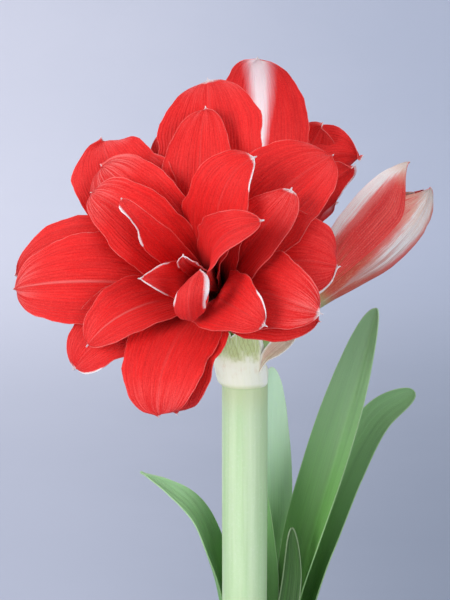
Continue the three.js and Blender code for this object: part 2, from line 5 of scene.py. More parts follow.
import bpy
import numpy as np
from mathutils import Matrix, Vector


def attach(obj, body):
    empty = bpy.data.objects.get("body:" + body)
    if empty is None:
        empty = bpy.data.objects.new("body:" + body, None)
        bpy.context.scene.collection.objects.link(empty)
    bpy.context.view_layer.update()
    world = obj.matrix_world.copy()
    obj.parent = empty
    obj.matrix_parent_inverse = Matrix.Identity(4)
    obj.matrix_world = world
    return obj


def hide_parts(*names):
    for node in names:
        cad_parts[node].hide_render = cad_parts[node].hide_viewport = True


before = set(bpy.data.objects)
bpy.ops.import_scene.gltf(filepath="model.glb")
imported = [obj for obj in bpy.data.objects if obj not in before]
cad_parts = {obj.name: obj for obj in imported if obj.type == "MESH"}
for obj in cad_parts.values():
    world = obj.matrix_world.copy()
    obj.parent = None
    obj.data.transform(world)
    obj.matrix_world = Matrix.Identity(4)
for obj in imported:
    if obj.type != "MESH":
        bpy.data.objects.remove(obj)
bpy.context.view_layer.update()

bl_info = {
    "name": "Potted double amaryllis",
    "version": (1, 0, 0),
    "blender": (4, 5, 0),
    "location": "3D View > Sidebar > Amaryllis",
    "description": "Grows a potted double amaryllis round its packed frame",
    "category": "Add Mesh",
}

MM = 0.001
SEED = 7
# Pieces that meet leave GAP between them; a flower's tube stands SEAT above its ovary; in millimetres
GAP = 0.3
SEAT = 3.3

# The flowers, in millimetres: where the throat lies and where it faces, azimuth from -Y towards +X;
# foot is the azimuth at which the stalk stands on the collar
FRONT = dict(throat=(-36, -85, 469), azimuth=-18, elevation=25, tube=45, foot=-30)
BACK = dict(throat=(2, 72, 468), azimuth=168, elevation=22, tube=45, foot=210)
BUD = dict(throat=(61, 28, 474), azimuth=97, elevation=47, tube=50, foot=90)

# A petal runs from a claw on the tube's ring to its tip, given as (right, up, ahead) of the throat.
# It is widest at the share widest of its length, and a larger point makes its end more pointed.
# rise, a share of the tube's length, and hug are how far ahead and outwards it first leads, and pull
# is how far back from its tip its bend reaches, as a share of its own reach;
# swing turns its start and sway its end about the flower's axis, curl bends its end back, in degrees;
# through replaces that course by the points that it runs through, and hood keeps its start's side.
# cup, cup_tip and cup_right bend it across, at its middle, its end and on its right, and fold creases
# it; ruffle is how far its margins wave, waves how often and phase from where; twist turns its blade
# about the axis; crimp is how uneven its margins are, as a share of its half width, and notch is a
# (side, at, span, depth) dent in a margin.
# white is the length of its white tip; edges are (side, from, to, width) of white margins; frost and
# ridge are the paleness of its end and of its midrib, and stripe that of the band on its outer side.
PETAL = dict(
    width=50, widest=0.62, point=0.58, claw=10, ring=5, rise=0.8, hug=9, curl=25, sway=0, swing=0,
    cup=0.35, cup_tip=0.15, cup_right=None, fold=0, ruffle=0, waves=2.5, phase=0, pull=0.42,
    hood=False, through=None, twist=0, notch=None, crimp=0.027, white=1.1, edges=(), frost=0.15,
    ridge=0.1, stripe=0.45,
)
FRONT_PETALS = [
    dict(
        tip=(-101, -6, -2), width=47, sway=28, swing=-22, curl=35, cup=0.25, ruffle=1.5, frost=0.5,
        widest=0.57,
    ),
    dict(
        tip=(-98, -16, 6), width=52, sway=-6, swing=8, curl=35, cup=0.3, fold=0.05, ruffle=1.2, point=0.66,
        frost=0.9, ridge=0.6,
    ),
    dict(
        tip=(-58, -58, 2), width=44, swing=-6, curl=45, cup=0.45, ruffle=1, widest=0.56, white=3,
        edges=[(1, 0.85, 1, 0.9)],
    ),
    dict(tip=(-47, -49, 16), width=34, sway=4, swing=-4, curl=30, fold=0.1, white=2, ridge=0.5),
    dict(tip=(4, -79, 4), width=44, sway=-10, swing=10, curl=60, cup=0.2, ruffle=1.5, point=0.5),
    dict(tip=(-3.5, -82.5, 10), width=48, swing=8, curl=60, cup=0.15, ruffle=1.5, point=0.4, frost=0.4),
    dict(tip=(73, -25, 0), width=44, sway=10, curl=30, ruffle=1.2),
    dict(tip=(76, -24, 10), width=45, curl=40, cup=0.3, ruffle=1.2, white=3.5, frost=0.9),
    dict(
        tip=(52, -36, 24), width=37, sway=12, swing=-25, curl=35, ruffle=0.8, white=3,
        edges=[(1, 0.86, 1, 0.9)],
    ),
    dict(
        tip=(79, 5, 0), width=58, sway=-10, swing=5, curl=40, cup=0.2, ruffle=1.5, point=0.42,
        crimp=0.05, white=2, edges=[(-1, 0.8, 1, 1.6)],
    ),
    dict(tip=(69, 66.5, 2), width=57, swing=-6, curl=30, cup=0.3, ruffle=0.6, point=0.5),
    dict(tip=(55, 40, 22), width=38, sway=40, swing=-30, curl=20, cup=0.7, white=3.5, frost=0.5),
    dict(tip=(37, 18, 30), width=20, curl=10, cup=0.6),
    dict(
        tip=(37, 53, 32), width=43, sway=-22, swing=-10, cup=0.3, widest=0.55, white=4, frost=0,
        edges=[(-1, 0.86, 1, 1.2)],
    ),
    dict(
        tip=(50, 13, 46), width=31, sway=12, swing=45, curl=30, cup=0.45, fold=0.1, pull=0.55,
        widest=0.55, crimp=0.03, white=2.5, frost=0.1,
    ),
    dict(
        tip=(-7, 110, 2), width=63, sway=16, swing=-21, curl=20, ruffle=0.6, widest=0.6, twist=-9,
        point=0.52, cup=0.3, white=4,
    ),
    dict(
        tip=(-2, 89, 12), width=44, curl=15, cup=0.5, ruffle=1, widest=0.5, point=0.52, crimp=0.035,
        white=2,
    ),
    dict(tip=(-27, 84, -2), width=34, curl=20, cup=0.3),
    dict(
        tip=(-62, 73, 2), width=52, sway=-18, curl=35, cup=0.2, ruffle=2.4, waves=4, point=0.45,
        twist=-18, crimp=0.06, frost=0.1,
    ),
    dict(tip=(-55.5, 53, 14), width=46, sway=8, curl=35, ruffle=1, point=0.5, twist=-8, frost=1, white=1),
    dict(tip=(-55, 34, 24), width=40, sway=10, curl=40, cup=0.5, frost=0.9, white=1.8),
    dict(
        tip=(-31.5, 26, 38), width=17, sway=-14, curl=40, cup=0.3, cup_right=0.6, fold=0.15, white=2.2,
        notch=(1, 0.84, 0.1, 0.5), edges=[(1, 0.72, 0.94, 1.7)],
    ),
    dict(
        tip=(-16, -17.3, 37), width=21, hood=True, swing=-47, sway=-50, curl=10, cup=0.4, point=0.75,
        claw=7, white=2.5, edges=[(0, 0.76, 1, 0.6)],
    ),
    dict(
        tip=(7.6, -4.4, 40), width=12, hood=True, swing=130, sway=130, curl=10, cup=0.7, pull=0.2,
        point=0.28, claw=6, white=1.5, edges=[(1, 0.8, 1, 0.5), (-1, 0.5, 1, 1.6)], stripe=0,
    ),
    dict(
        tip=(15.6, -10, 33),
        through=[(4, -8, -9), (11, -33.5, 22), (12.7, -31, 35), (13.8, -23, 40), (15, -15, 38)],
        width=20, swing=-37, hood=True, cup=0.85, cup_tip=0.8, cup_right=1.35, claw=8, point=0.5,
        widest=0.84, white=1, stripe=0, edges=[(-1, 0.76, 0.84, 2.2), (1, 0.72, 1, 2.8)],
    ),
]
BACK_PETALS = [
    dict(tip=(-6, 119.6, 4), width=56, curl=30, cup=0.25, point=0.46, widest=0.6, stripe=1, white=2.5),
    dict(
        tip=(-61, 48, 22), width=45, swing=-34, sway=62, curl=10, cup=0.3, ruffle=2.8, waves=3, pull=0.5,
        crimp=0.09, white=0.6, stripe=0, frost=0,
    ),
    dict(
        tip=(-58, 48.5, 10), width=25, swing=5, curl=35, cup=0.3, ruffle=2, waves=3, white=1,
        crimp=0.09, edges=[(1, 0.75, 1, 0.9)], stripe=0, frost=0,
    ),
    dict(tip=(-39, 71, 18), width=40, curl=30, ruffle=1.8, white=0.3, stripe=0),
    dict(tip=(20, 88, 16), width=42, curl=30, ruffle=1, phase=0.3),
    dict(tip=(55, 62, 6), width=46, curl=35, ruffle=1.2, stripe=0.8),
    dict(tip=(62, 44, 20), width=40, curl=30, ruffle=1.5, phase=0.4, white=3),
    dict(tip=(76, 8, 4), width=48, curl=40, cup=0.3, ruffle=1.4, stripe=0.9),
    dict(tip=(60, -18, 20), width=40, curl=35, ruffle=1.2, frost=0.8),
    dict(tip=(50, -56, 8), width=46, curl=45, cup=0.3, ruffle=1.2, stripe=0.9, white=4),
    dict(tip=(28, -58, 30), width=38, curl=35, ruffle=1, phase=0.6),
    dict(tip=(2, -72, 27), width=46, curl=40, cup=0.3, ruffle=1.2, frost=0.7),
    dict(tip=(-26, -50, 42), width=40, curl=20, cup=0.5, ruffle=1, white=3),
    dict(tip=(-40, 4, 50), width=42, curl=20, cup=0.5, ruffle=1.2),
    dict(tip=(34, 42, 36), width=34, curl=30, cup=0.4, white=3),
    dict(tip=(40, -6, 38), width=32, curl=30, cup=0.5, frost=0.8),
    dict(tip=(12, -36, 44), width=30, curl=25, cup=0.5, white=3, edges=[(1, 0.7, 1, 1.2)]),
    dict(tip=(-20, -14, 54), width=26, curl=15, cup=0.7, white=3),
    dict(tip=(4, 26, 50), width=24, curl=15, cup=0.8, claw=8, white=3, edges=[(0, 0.7, 1, 1)]),
]
# The bud's skin: its radius at distances along its axis from its root, and how far its middle lies
# above the axis. A sepal wraps it round centre, half a turn wide each way, both in degrees from the
# flower's right towards up; it ends at tip, and lift is how far it lies outside the skin. Its brown
# stain reaches from its root to the share stain of its length, and its beige tip is beige mm long
BUD_SKIN = [
    (-3.3, 5), (0, 6.3), (14, 9.8), (24, 13), (35, 16.3), (43, 18.9), (50, 20.5), (60, 21.4),
    (69, 21.7), (77, 21.2), (85, 19.4), (90, 17.5), (97, 13.5), (102, 10.5),
]
BUD_BOW = [(0, 0), (30, -0.8), (60, -1.7), (77, -1.4), (90, 0), (102, 1.4)]
BUD_SEPALS = [
    dict(centre=104, wrap=80, tip=102, lift=0.9, stripe=9, stain=0.45, beige=18),
    dict(centre=214, wrap=66, tip=99, lift=0, stripe=8, stain=0.68, beige=44),
    dict(centre=316, wrap=72, tip=97, lift=-0.9, stripe=9, stain=0.5, beige=20),
]
BUD_PETALS = [
    dict(centre=centre, wrap=64, tip=tip, lift=lift, stripe=3, stain=0.5, beige=10)
    for centre, tip, lift in ((60, 88, -3), (180, 90, -3.9), (300, 86, -4.8))
]

# A leaf follows its crease; its inner side looks to the azimuths in face, at its foot and its end.
# base is how wide its foot is, as a share of its width, and a larger tip narrows its end sooner;
# cup and cup_tip bend it across, fold creases it, and skew makes one half wider than the other.
# tone is its lightness; the difference between its halves is painted light, one half painted lighter where
# its glossy side would reflect the sky; bloom is the wax on its outer half.
LEAF = dict(base=0.5, tip=0.5, cup=0.5, cup_tip=0.3, fold=0.15, skew=0, tone=0.5, split=0, bloom=0.3)
LEAF_SEAT = 178.3
LEAVES = {
    "leaf_left": dict(
        crease=[
            (-15, 14, LEAF_SEAT), (-21.3, 13, 265), (-28.3, 12, 295), (-38, 9, 319), (-52, 5, 333),
            (-68, 0, 343.5),
        ],
        width=25, face=(85, 62), fold=0.2, cup_tip=0.5, tip=1.15, base=0.6, tone=0.78, bloom=0.4,
    ),
    "leaf_back": dict(
        crease=[(-9, 15, LEAF_SEAT), (-6, 21.5, 222), (2, 28, 263), (6, 31, 310), (6, 33, 358), (8, 30, 400)],
        width=30, face=(85, 25), tone=0.9, bloom=1.2,
    ),
    "leaf_hidden": dict(
        crease=[(-3, 13, LEAF_SEAT), (2.5, 14, 264), (0, 16, 300), (-3, 16, 330), (-5, 14, 355)],
        width=21, face=(85, 25), base=0.6, tone=0.75, bloom=0.1,
    ),
    "leaf_young": dict(
        crease=[(11, -7, LEAF_SEAT), (16, -8, 258), (19, -8, 285), (19, -9, 313)],
        width=13, face=(-30, 10), base=0.8, tone=0.0, bloom=0,
    ),
    "leaf_right": dict(
        crease=[
            (7.5, 14, LEAF_SEAT), (15.5, 13.5, 222), (23, 12, 265), (32, 9, 305), (43, 5, 347),
            (56.5, 2, 397), (67.3, 0, 438.5),
        ],
        width=28.5, face=(-85, -32), cup_tip=0.15, fold=0.35, skew=-0.2, tone=0.72, split=0.3,
        bloom=0.28,
    ),
    "leaf_right_back": dict(
        crease=[
            (13, 14, LEAF_SEAT), (30.5, 18, 263), (39, 24, 298), (52.5, 30, 338), (72.5, 34, 371),
            (92.5, 36, 384.5),
        ],
        width=27.5, face=(-85, -35), cup_tip=0.2, base=0.55, tip=0.42, tone=0.58, bloom=0.2,
    ),
}

SCAPE = dict(x=-8, y=-10, radius=13, lip=397, top=408, collar=14.4, lean=-1.7)
PEDICEL = dict(radius=4.4, ring=7, ovary=7.6, length=20)
# The bulb's radius at its heights, from its foot to its neck
BULB_PROFILE = [
    (88, 20), (90, 27), (99, 38), (109, 43.5), (120, 46), (130, 46.2), (140, 44.5), (149, 41), (158, 36),
    (165, 32), (172, 29), (180, 27.6), (188, 27),
]
BULB_FOOT, BULB_NECK = BULB_PROFILE[0][0], BULB_PROFILE[-1][0]
# The compost's foot and level, its radius at each, and where the pot's wall stands at its level
COMPOST = dict(foot=8.4, level=124, foot_radius=46, radius=70.4, wall=71.5)
# The pot's outline as (radius, height), from its foot over its rim to its floor inside
POT_PROFILE = [
    (53.5, 0), (55, 1.5), (74.1, 110), (78.5, 111.5), (80, 138), (79, 139.8), (76, 139.8), (74, 138),
    (51, 10), (47, 8),
]
DRAINS = dict(count=3, ring=26, radius=5)


# Small maths

def smooth(t):
    t = np.clip(t, 0, 1)
    return t * t * (3 - 2 * t)


def mix(a, b, t):
    return a + (b - a) * t


def unit(v):
    return v / np.linalg.norm(v, axis=-1, keepdims=True)


def turned_about(v, axis, degrees):
    angle = math.radians(degrees)
    straight = axis * np.dot(v, axis) * (1 - math.cos(angle))
    return v * math.cos(angle) + np.cross(axis, v) * math.sin(angle) + straight


def bezier(corners, t):
    a, b, c, d = corners
    t = np.asarray(t)[:, None]
    return a * (1 - t) ** 3 + 3 * b * (1 - t) ** 2 * t + 3 * c * (1 - t) * t * t + d * t ** 3


def curve_through(points):
    """A smooth curve through points, which doesn't loop between two that lie close together."""
    given = np.array(points, float)
    through = np.vstack([2 * given[0] - given[1], given, 2 * given[-1] - given[-2]])
    t = np.linspace(0, 1, 60)[:, None]
    line = []
    for before, first, second, after in zip(through, through[1:], through[2:], through[3:]):
        near = np.linalg.norm(first - before) ** 0.5
        gap = np.linalg.norm(second - first) ** 0.5
        far = np.linalg.norm(after - second) ** 0.5
        leave = gap * ((first - before) / near - (second - before) / (near + gap) + (second - first) / gap)
        arrive = gap * ((second - first) / gap - (after - first) / (gap + far) + (after - second) / far)
        cubic = 2 * first - 2 * second + leave + arrive
        square = -3 * first + 3 * second - 2 * leave - arrive
        line.append(cubic * t ** 3 + square * t ** 2 + leave * t + first)
    return np.vstack(line)


def evenly(line, u):
    """Points and tangents at the shares u of a line's length, and that length."""
    steps = np.linalg.norm(np.diff(line, axis=0), axis=1)
    reach = np.concatenate([[0], np.cumsum(steps)])
    length = reach[-1]

    def at(share):
        return np.stack([np.interp(share * length, reach, line[:, k]) for k in range(3)], -1)

    tangent = unit(at(np.clip(u + 0.004, 0, 1)) - at(np.clip(u - 0.004, 0, 1)))
    return at(u), tangent, length


def around(turn, radius, height, x=0, y=0):
    """Points round an upright axis, turned from -Y towards +X."""
    return np.stack([x + radius * np.sin(turn), y - radius * np.cos(turn), height], -1)


def followed(rows, at):
    """The later columns of rows, each at the places at in the first column."""
    places, *columns = zip(*rows)
    return [np.interp(at, places, column) for column in columns]


def crowded(along, power):
    """The rows of a blade as shares of its length, closer together towards its tip."""
    return 1 - (1 - along) ** power


def square_to(tangent, side):
    return unit(side - tangent * np.sum(side * tangent, axis=1, keepdims=True))


class Flower:
    """A flower's own frame: its throat, its axis, and what lies right of and above it, seen from ahead."""

    def __init__(self, throat, azimuth, elevation, tube, foot):
        turn = math.radians(azimuth)
        lift = math.radians(elevation)
        self.throat = np.array(throat, float)
        self.axis = np.array([
            math.sin(turn) * math.cos(lift),
            -math.cos(turn) * math.cos(lift),
            math.sin(lift),
        ])
        self.right = unit(np.cross((0, 0, 1), self.axis))
        self.up = np.cross(self.axis, self.right)
        self.tube = tube
        self.foot = math.radians(foot)
        self.root = self.throat - self.axis * tube

    def place(self, right, up, ahead):
        return self.throat + right * self.right + up * self.up + ahead * self.axis

    def round(self, turn, radius, height, middle=0):
        """Points round the flower's axis, turned from its right towards up, height ahead of its root."""
        points = np.stack([radius * np.cos(turn), middle + radius * np.sin(turn), height], -1)
        return (
            self.root
            + points[:, :1] * self.right
            + points[:, 1:2] * self.up
            + points[:, 2:3] * self.axis
        )


# Shader maths

class Term:
    """A socket in a shader's expression. Arithmetic on it adds Math nodes."""

    def __init__(self, shader, socket):
        self.shader = shader
        self.socket = socket

    def math(self, operation, *values):
        return self.shader.node("Math", {"operation": operation}, dict(enumerate(values)))

    def __add__(self, other):
        return self.math("ADD", self, other)

    def __radd__(self, other):
        return self.math("ADD", other, self)

    def __sub__(self, other):
        return self.math("SUBTRACT", self, other)

    def __rsub__(self, other):
        return self.math("SUBTRACT", other, self)

    def __mul__(self, other):
        return self.math("MULTIPLY", self, other)

    def __rmul__(self, other):
        return self.math("MULTIPLY", other, self)

    def __truediv__(self, other):
        return self.math("DIVIDE", self, other)

    def __abs__(self):
        return self.math("ABSOLUTE", self)

    def above(self, other):
        return self.math("MAXIMUM", self, other)

    def wave(self):
        return self.math("SINE", self)

    def step(self, start, end):
        """0 up to start, 1 from end, and smooth between them; start may be the larger."""
        share = (self - start) / (end - start)
        return self.shader.node("MapRange", {"interpolation_type": "SMOOTHSTEP"}, {"Value": share})


class Shader:
    """A material in the making, with one method for any node."""

    def __init__(self, name):
        self.material = bpy.data.materials.new(name)
        self.material.use_nodes = True
        self.tree = self.material.node_tree
        self.tree.nodes.clear()

    def node(self, kind, settings=None, values=None, output=0):
        made = self.tree.nodes.new("ShaderNode" + kind)
        for name, value in (settings or {}).items():
            setattr(made, name, value)
        for name, value in (values or {}).items():
            if isinstance(value, Term):
                self.tree.links.new(value.socket, made.inputs[name])
            elif made.inputs[name].type == "RGBA":
                made.inputs[name].default_value = (*value, 1)
            else:
                made.inputs[name].default_value = value
        return Term(self, made.outputs[output])

    def attribute(self, name):
        return self.node("Attribute", {"attribute_name": name}, output="Fac")

    def place(self):
        return self.node("TexCoord", output="Object")

    def spread(self, x, y, z=0.0):
        return self.node("CombineXYZ", None, {"X": x, "Y": y, "Z": z})

    def noise(self, vector, scale, detail=2.0, roughness=0.5):
        return self.node(
            "TexNoise", None,
            {"Vector": vector, "Scale": scale, "Detail": detail, "Roughness": roughness},
        )

    def specks(self, vector, scale):
        return self.node("TexVoronoi", {"feature": "F1"}, {"Vector": vector, "Scale": scale}, "Distance")

    def stretched(self, vector, *scale):
        return self.node("Mapping", None, {"Vector": vector, "Scale": scale})

    def part(self, vector, axis):
        return self.node("SeparateXYZ", None, {"Vector": vector}, axis)

    def blend(self, factor, first, second):
        return self.node("Mix", {"data_type": "RGBA"}, {0: factor, 6: first, 7: second}, 2)

    def coats(self, body, *coats):
        """Lays colours over a body, one after the other, each as strongly as its factor."""
        for factor, shade in coats:
            body = self.blend(factor, body, shade)
        return body

    def bump(self, height, depth, strength=1.0):
        return self.node("Bump", None, {"Height": height, "Distance": depth, "Strength": strength})

    def finish(self, flesh=(), **values):
        """The finished material; flesh is the light that enters it: its share, its reach and its scale."""
        named = {key.replace("_", " "): value for key, value in values.items()}
        named.update(zip(("Subsurface Weight", "Subsurface Radius", "Subsurface Scale"), flesh))
        surface = self.node("BsdfPrincipled", None, named)
        end = self.tree.nodes.new("ShaderNodeOutputMaterial")
        self.tree.links.new(surface.socket, end.inputs["Surface"])
        return self.material


# Modelling helpers

def alone(piece):
    """Selects a piece and nothing else."""
    bpy.ops.object.select_all(action="DESELECT")
    piece.select_set(True)
    bpy.context.view_layer.objects.active = piece


def apply_modifier(piece, kind, **settings):
    alone(piece)
    modifier = piece.modifiers.new(kind.title(), kind)
    for name, value in settings.items():
        setattr(modifier, name, value)
    bpy.ops.object.modifier_apply(modifier=modifier.name)


def corners_of(piece):
    points = np.empty(len(piece.data.vertices) * 3, np.float32)
    piece.data.vertices.foreach_get("co", points)
    return points.reshape(-1, 3).astype(float)


def move_corners(piece, points):
    piece.data.vertices.foreach_set("co", points.astype(np.float32).ravel())
    piece.data.update()


def note(piece, name, values):
    """Writes one number for each vertex to an attribute that the shaders read."""
    attribute = piece.data.attributes.new(name, "FLOAT", "POINT")
    spread = np.broadcast_to(np.asarray(values, np.float32), len(piece.data.vertices))
    attribute.data.foreach_set("value", np.ascontiguousarray(spread))


def shaded(piece, angle=50):
    alone(piece)
    bpy.ops.object.shade_smooth_by_angle(angle=math.radians(angle))


def grid(name, columns, rows, place):
    """A grid whose corners place(along, across) puts where they belong, with the facts that it notes."""
    bpy.ops.object.select_all(action="DESELECT")
    bpy.ops.mesh.primitive_grid_add(x_subdivisions=columns, y_subdivisions=rows, size=2)
    made = bpy.context.object
    made.name = name
    flat = corners_of(made)
    along, across = (flat[:, 1] + 1) / 2, -flat[:, 0]
    points, facts = place(along, across)
    move_corners(made, points * MM)
    for key, values in facts.items():
        note(made, key, values)
    return made, along, across


def sewn(piece, gap):
    """Merges the corners that meet at a seam or a pole, gap millimetres apart at most."""
    alone(piece)
    bpy.ops.object.mode_set(mode="EDIT")
    bpy.ops.mesh.select_all(action="SELECT")
    bpy.ops.mesh.remove_doubles(threshold=gap * MM)
    bpy.ops.object.mode_set(mode="OBJECT")
    return piece


def outwards(piece, inside=False):
    alone(piece)
    bpy.ops.object.mode_set(mode="EDIT")
    bpy.ops.mesh.select_all(action="SELECT")
    bpy.ops.mesh.normals_make_consistent(inside=inside)
    bpy.ops.object.mode_set(mode="OBJECT")


def wrapped(name, columns, rows, place, material):
    """A closed skin: a grid wrapped round an axis, sewn at its seam and its ends."""
    made = sewn(grid(name, columns, rows, place)[0], 0.06)
    outwards(made)
    made.data.materials.append(material)
    return made


def sheet(name, columns, rows, place, thickness, materials, thin=0.4):
    """A thin sheet: a grid thickened most along its middle."""
    made, along, across = grid(name, columns, rows, place)
    for material in materials:
        made.data.materials.append(material)
    body = made.vertex_groups.new(name="body")
    weights = (1 - across ** 2) * (1 - 0.6 * along)
    for index, weight in enumerate(weights):
        body.add([index], float(weight), "REPLACE")
    apply_modifier(
        made, "SOLIDIFY", thickness=thickness * MM, offset=0, vertex_group="body",
        thickness_vertex_group=thin, material_offset=len(materials) - 1,
    )
    made.vertex_groups.clear()
    return made


def joined(name, pieces):
    bpy.ops.object.select_all(action="DESELECT")
    for piece in pieces:
        piece.select_set(True)
    bpy.context.view_layer.objects.active = pieces[0]
    bpy.ops.object.join()
    made = bpy.context.object
    made.name = name
    made.data.name = name
    return made


def turned(name, profile, sides, material, bowl=False):
    """A turned body: a disc, extruded and resized from one point of its profile to the next.

    A bowl keeps its disc as its floor, has no wall, and faces inwards.
    """
    bpy.ops.object.select_all(action="DESELECT")
    bpy.ops.mesh.primitive_circle_add(vertices=sides, radius=profile[0][0] * MM, fill_type="NGON")
    made = bpy.context.object
    made.name = name
    extrude = bpy.ops.mesh.extrude_edges_move if bowl else bpy.ops.mesh.extrude_region_move
    bpy.ops.object.mode_set(mode="EDIT")
    bpy.ops.mesh.select_mode(type="EDGE" if bowl else "VERT")
    bpy.ops.mesh.select_all(action="SELECT")
    for (radius, height), (wider, higher) in zip(profile, profile[1:]):
        extrude(TRANSFORM_OT_translate={"value": (0, 0, (higher - height) * MM)})
        share = wider / radius
        bpy.ops.transform.resize(value=(share, share, 1), center_override=(0, 0, higher * MM))
    bpy.ops.object.mode_set(mode="OBJECT")
    outwards(made, inside=bowl)
    made.data.materials.append(material)
    return made


def stem(name, corners, radii, material, sides):
    """A round stem along a curve's points, thick as radii says, with closed ends."""
    bpy.ops.object.select_all(action="DESELECT")
    data = bpy.data.curves.new(name, "CURVE")
    data.dimensions = "3D"
    data.bevel_depth = MM
    data.bevel_resolution = sides
    data.use_fill_caps = True
    spline = data.splines.new("POLY")
    spline.points.add(len(corners) - 1)
    for point, corner, radius in zip(spline.points, corners, radii):
        point.co = (*(corner * MM), 1)
        point.radius = radius
    made = bpy.data.objects.new(name, data)
    bpy.context.scene.collection.objects.link(made)
    alone(made)
    bpy.ops.object.convert(target="MESH")
    made = bpy.context.object
    made.data.materials.clear()
    made.data.materials.append(material)
    return made


def stands_for(piece, node):
    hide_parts(node)
    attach(piece, "root")
    return piece


# Petals

def petal_outline(p, u):
    claw = p["claw"] / p["width"]
    rising = claw + (1 - claw) * np.sin(np.pi / 2 * np.clip(u / p["widest"], 0, 1)) ** 1.4
    falling = 1 - np.clip((u - p["widest"]) / (1 - p["widest"]), 0, 1) ** 2
    return np.where(u < p["widest"], rising, falling ** p["point"])


def blade_facts(u, across, half, own, **more):
    """What the finish of a petal or a sepal reads: where a point lies on it, and its own traits."""
    off = half * across
    return {"along": u, "across": across, "off": off, "rim": half * (1 - np.abs(across)), "own": own, **more}


def petal_surface(flower, petal, seed):
    """What places a petal's points, with the facts that its finish needs."""
    p = {**PETAL, **petal}
    luck = np.random.default_rng(seed)
    right, up, ahead = p["tip"]
    axis = flower.axis
    outward = unit(right * flower.right + up * flower.up)
    start = turned_about(outward, axis, p["swing"])
    end = flower.place(right, up, ahead)
    curl = math.radians(p["curl"])
    bend = turned_about(outward * math.cos(curl) - axis * math.sin(curl), axis, p["sway"])
    reach = np.linalg.norm(end - flower.throat)
    claw = flower.root + start * p["ring"]
    if p["through"]:
        line = curve_through([claw, *(flower.place(*point) for point in p["through"]), end])
    else:
        leaving = flower.root + axis * flower.tube * p["rise"] + start * p["hug"]
        line = bezier([claw, leaving, end - bend * reach * p["pull"], end], np.linspace(0, 1, 200))
    from_side = np.cross(axis, start)
    to_side = from_side if p["hood"] else np.cross(axis, turned_about(outward, axis, p["twist"]))
    wrap = p["claw"] / 2 / p["ring"] * 0.8
    phases = luck.uniform(0, 2 * np.pi, 6)
    own = luck.uniform(0, 1)

    def place(along, across):
        u = crowded(along, 1.35)
        middle, tangent, length = evenly(line, u)
        share = smooth(u / 0.5)[:, None]
        side = from_side * (1 - share) + to_side * share
        side = square_to(tangent, side)
        inner = np.cross(tangent, side)
        tip_gap = (1 - u) * length
        mucro = np.clip(0.24 * tip_gap, 0.1, 0.55)
        half = np.maximum(p["width"] / 2 * petal_outline(p, np.clip(u / 0.985, 0, 1)), mucro)
        nick = np.sin(23 * u + phases[0]) + 0.6 * np.sin(51 * u + phases[1] + across)
        nick = nick + 0.4 * np.sin(97 * u + phases[2])
        lobes = np.sin(13 * u + phases[5] + 2 * np.sign(across)) + 0.7 * np.sin(31 * u + phases[4])
        uneven = 0.019 * nick + p["crimp"] * lobes
        half = half * (1 + uneven * smooth((u - 0.3) / 0.3) * np.abs(across) ** 3)
        if p["notch"]:
            side_of, at, span, depth = p["notch"]
            dent = depth * smooth(1.5 - 1.5 * np.abs(u - at) / span) * (np.sign(across) == side_of)
            half = half * (1 - dent * np.abs(across))
        cup = np.where(across < 0, p["cup_right"] or p["cup"], p["cup"])
        cup_tip = np.where(across < 0, p["cup_right"] or p["cup_tip"], p["cup_tip"])
        angle = mix(mix(wrap, cup, smooth(u / 0.35)), cup_tip, smooth((u - 0.55) / 0.45))
        wave = np.sin(2 * np.pi * (p["waves"] * u + p["phase"] + 0.23 * np.sign(across)))
        frill = np.sin(2 * np.pi * (6.3 * u + phases[3] + 0.4 * np.sign(across)))
        grown = smooth(u / 0.4)
        lift = half / angle * (1 - np.cos(across * angle))
        lift += p["fold"] * half * (np.sqrt(across ** 2 + 0.01) - 0.1)
        lift += p["ruffle"] * np.abs(across) ** 2.5 * wave * grown
        lift += 0.5 * np.abs(across) ** 4 * frill * grown
        lift -= 0.55 * np.exp(-(across * half / 1.6) ** 2) * grown * smooth((1 - u) / 0.1)
        lift += 0.22 * np.sin(9 * across + phases[4]) * grown
        points = middle + side * (half / angle * np.sin(across * angle))[:, None] + inner * lift[:, None]
        rim_white = np.full(len(u), 0.32)
        for which, first, last, width in p["edges"]:
            on_side = np.where(which == 0, 1.0, (np.sign(across) == which).astype(float))
            inside = smooth((u - first) / 0.05 + 0.5) * smooth((last - u) / 0.05 + 0.5)
            rim_white = rim_white + width * inside * on_side
        return points, blade_facts(
            u, across, half, own, tip=tip_gap, tip_white=p["white"], rim_white=rim_white, frost=p["frost"],
            ridge=p["ridge"], stripe=p["stripe"], veins=p["width"] / 46,
        )

    return place


def grown_petals(flower, petals, settings, materials, seed):
    made = []
    for number, petal in enumerate(petals):
        columns, rows = (26, 44) if petal["width"] >= 30 else (18, 32)
        surface = petal_surface(flower, petal, seed + number)
        made.append(sheet("petal", columns, rows, surface, settings.petal_thickness / MM, materials))
    return made


def petal_veins(s):
    """What runs from a petal's claw to its tip: broad streaks, fine streaks and the veins' lines."""
    across = s.attribute("across")
    along = s.attribute("along")
    own = s.attribute("own")
    coarse = s.noise(s.spread(across * 13 + own * 57, along * 2.2, own * 31), 1.0, 3.0, 0.6)
    fine = s.noise(s.spread(across * 40 + own * 23, along * 14, own * 11), 1.0, 2.0, 0.65)
    lines = abs((across * s.attribute("veins") * 36 + coarse * 5).wave())
    return coarse, fine, lines


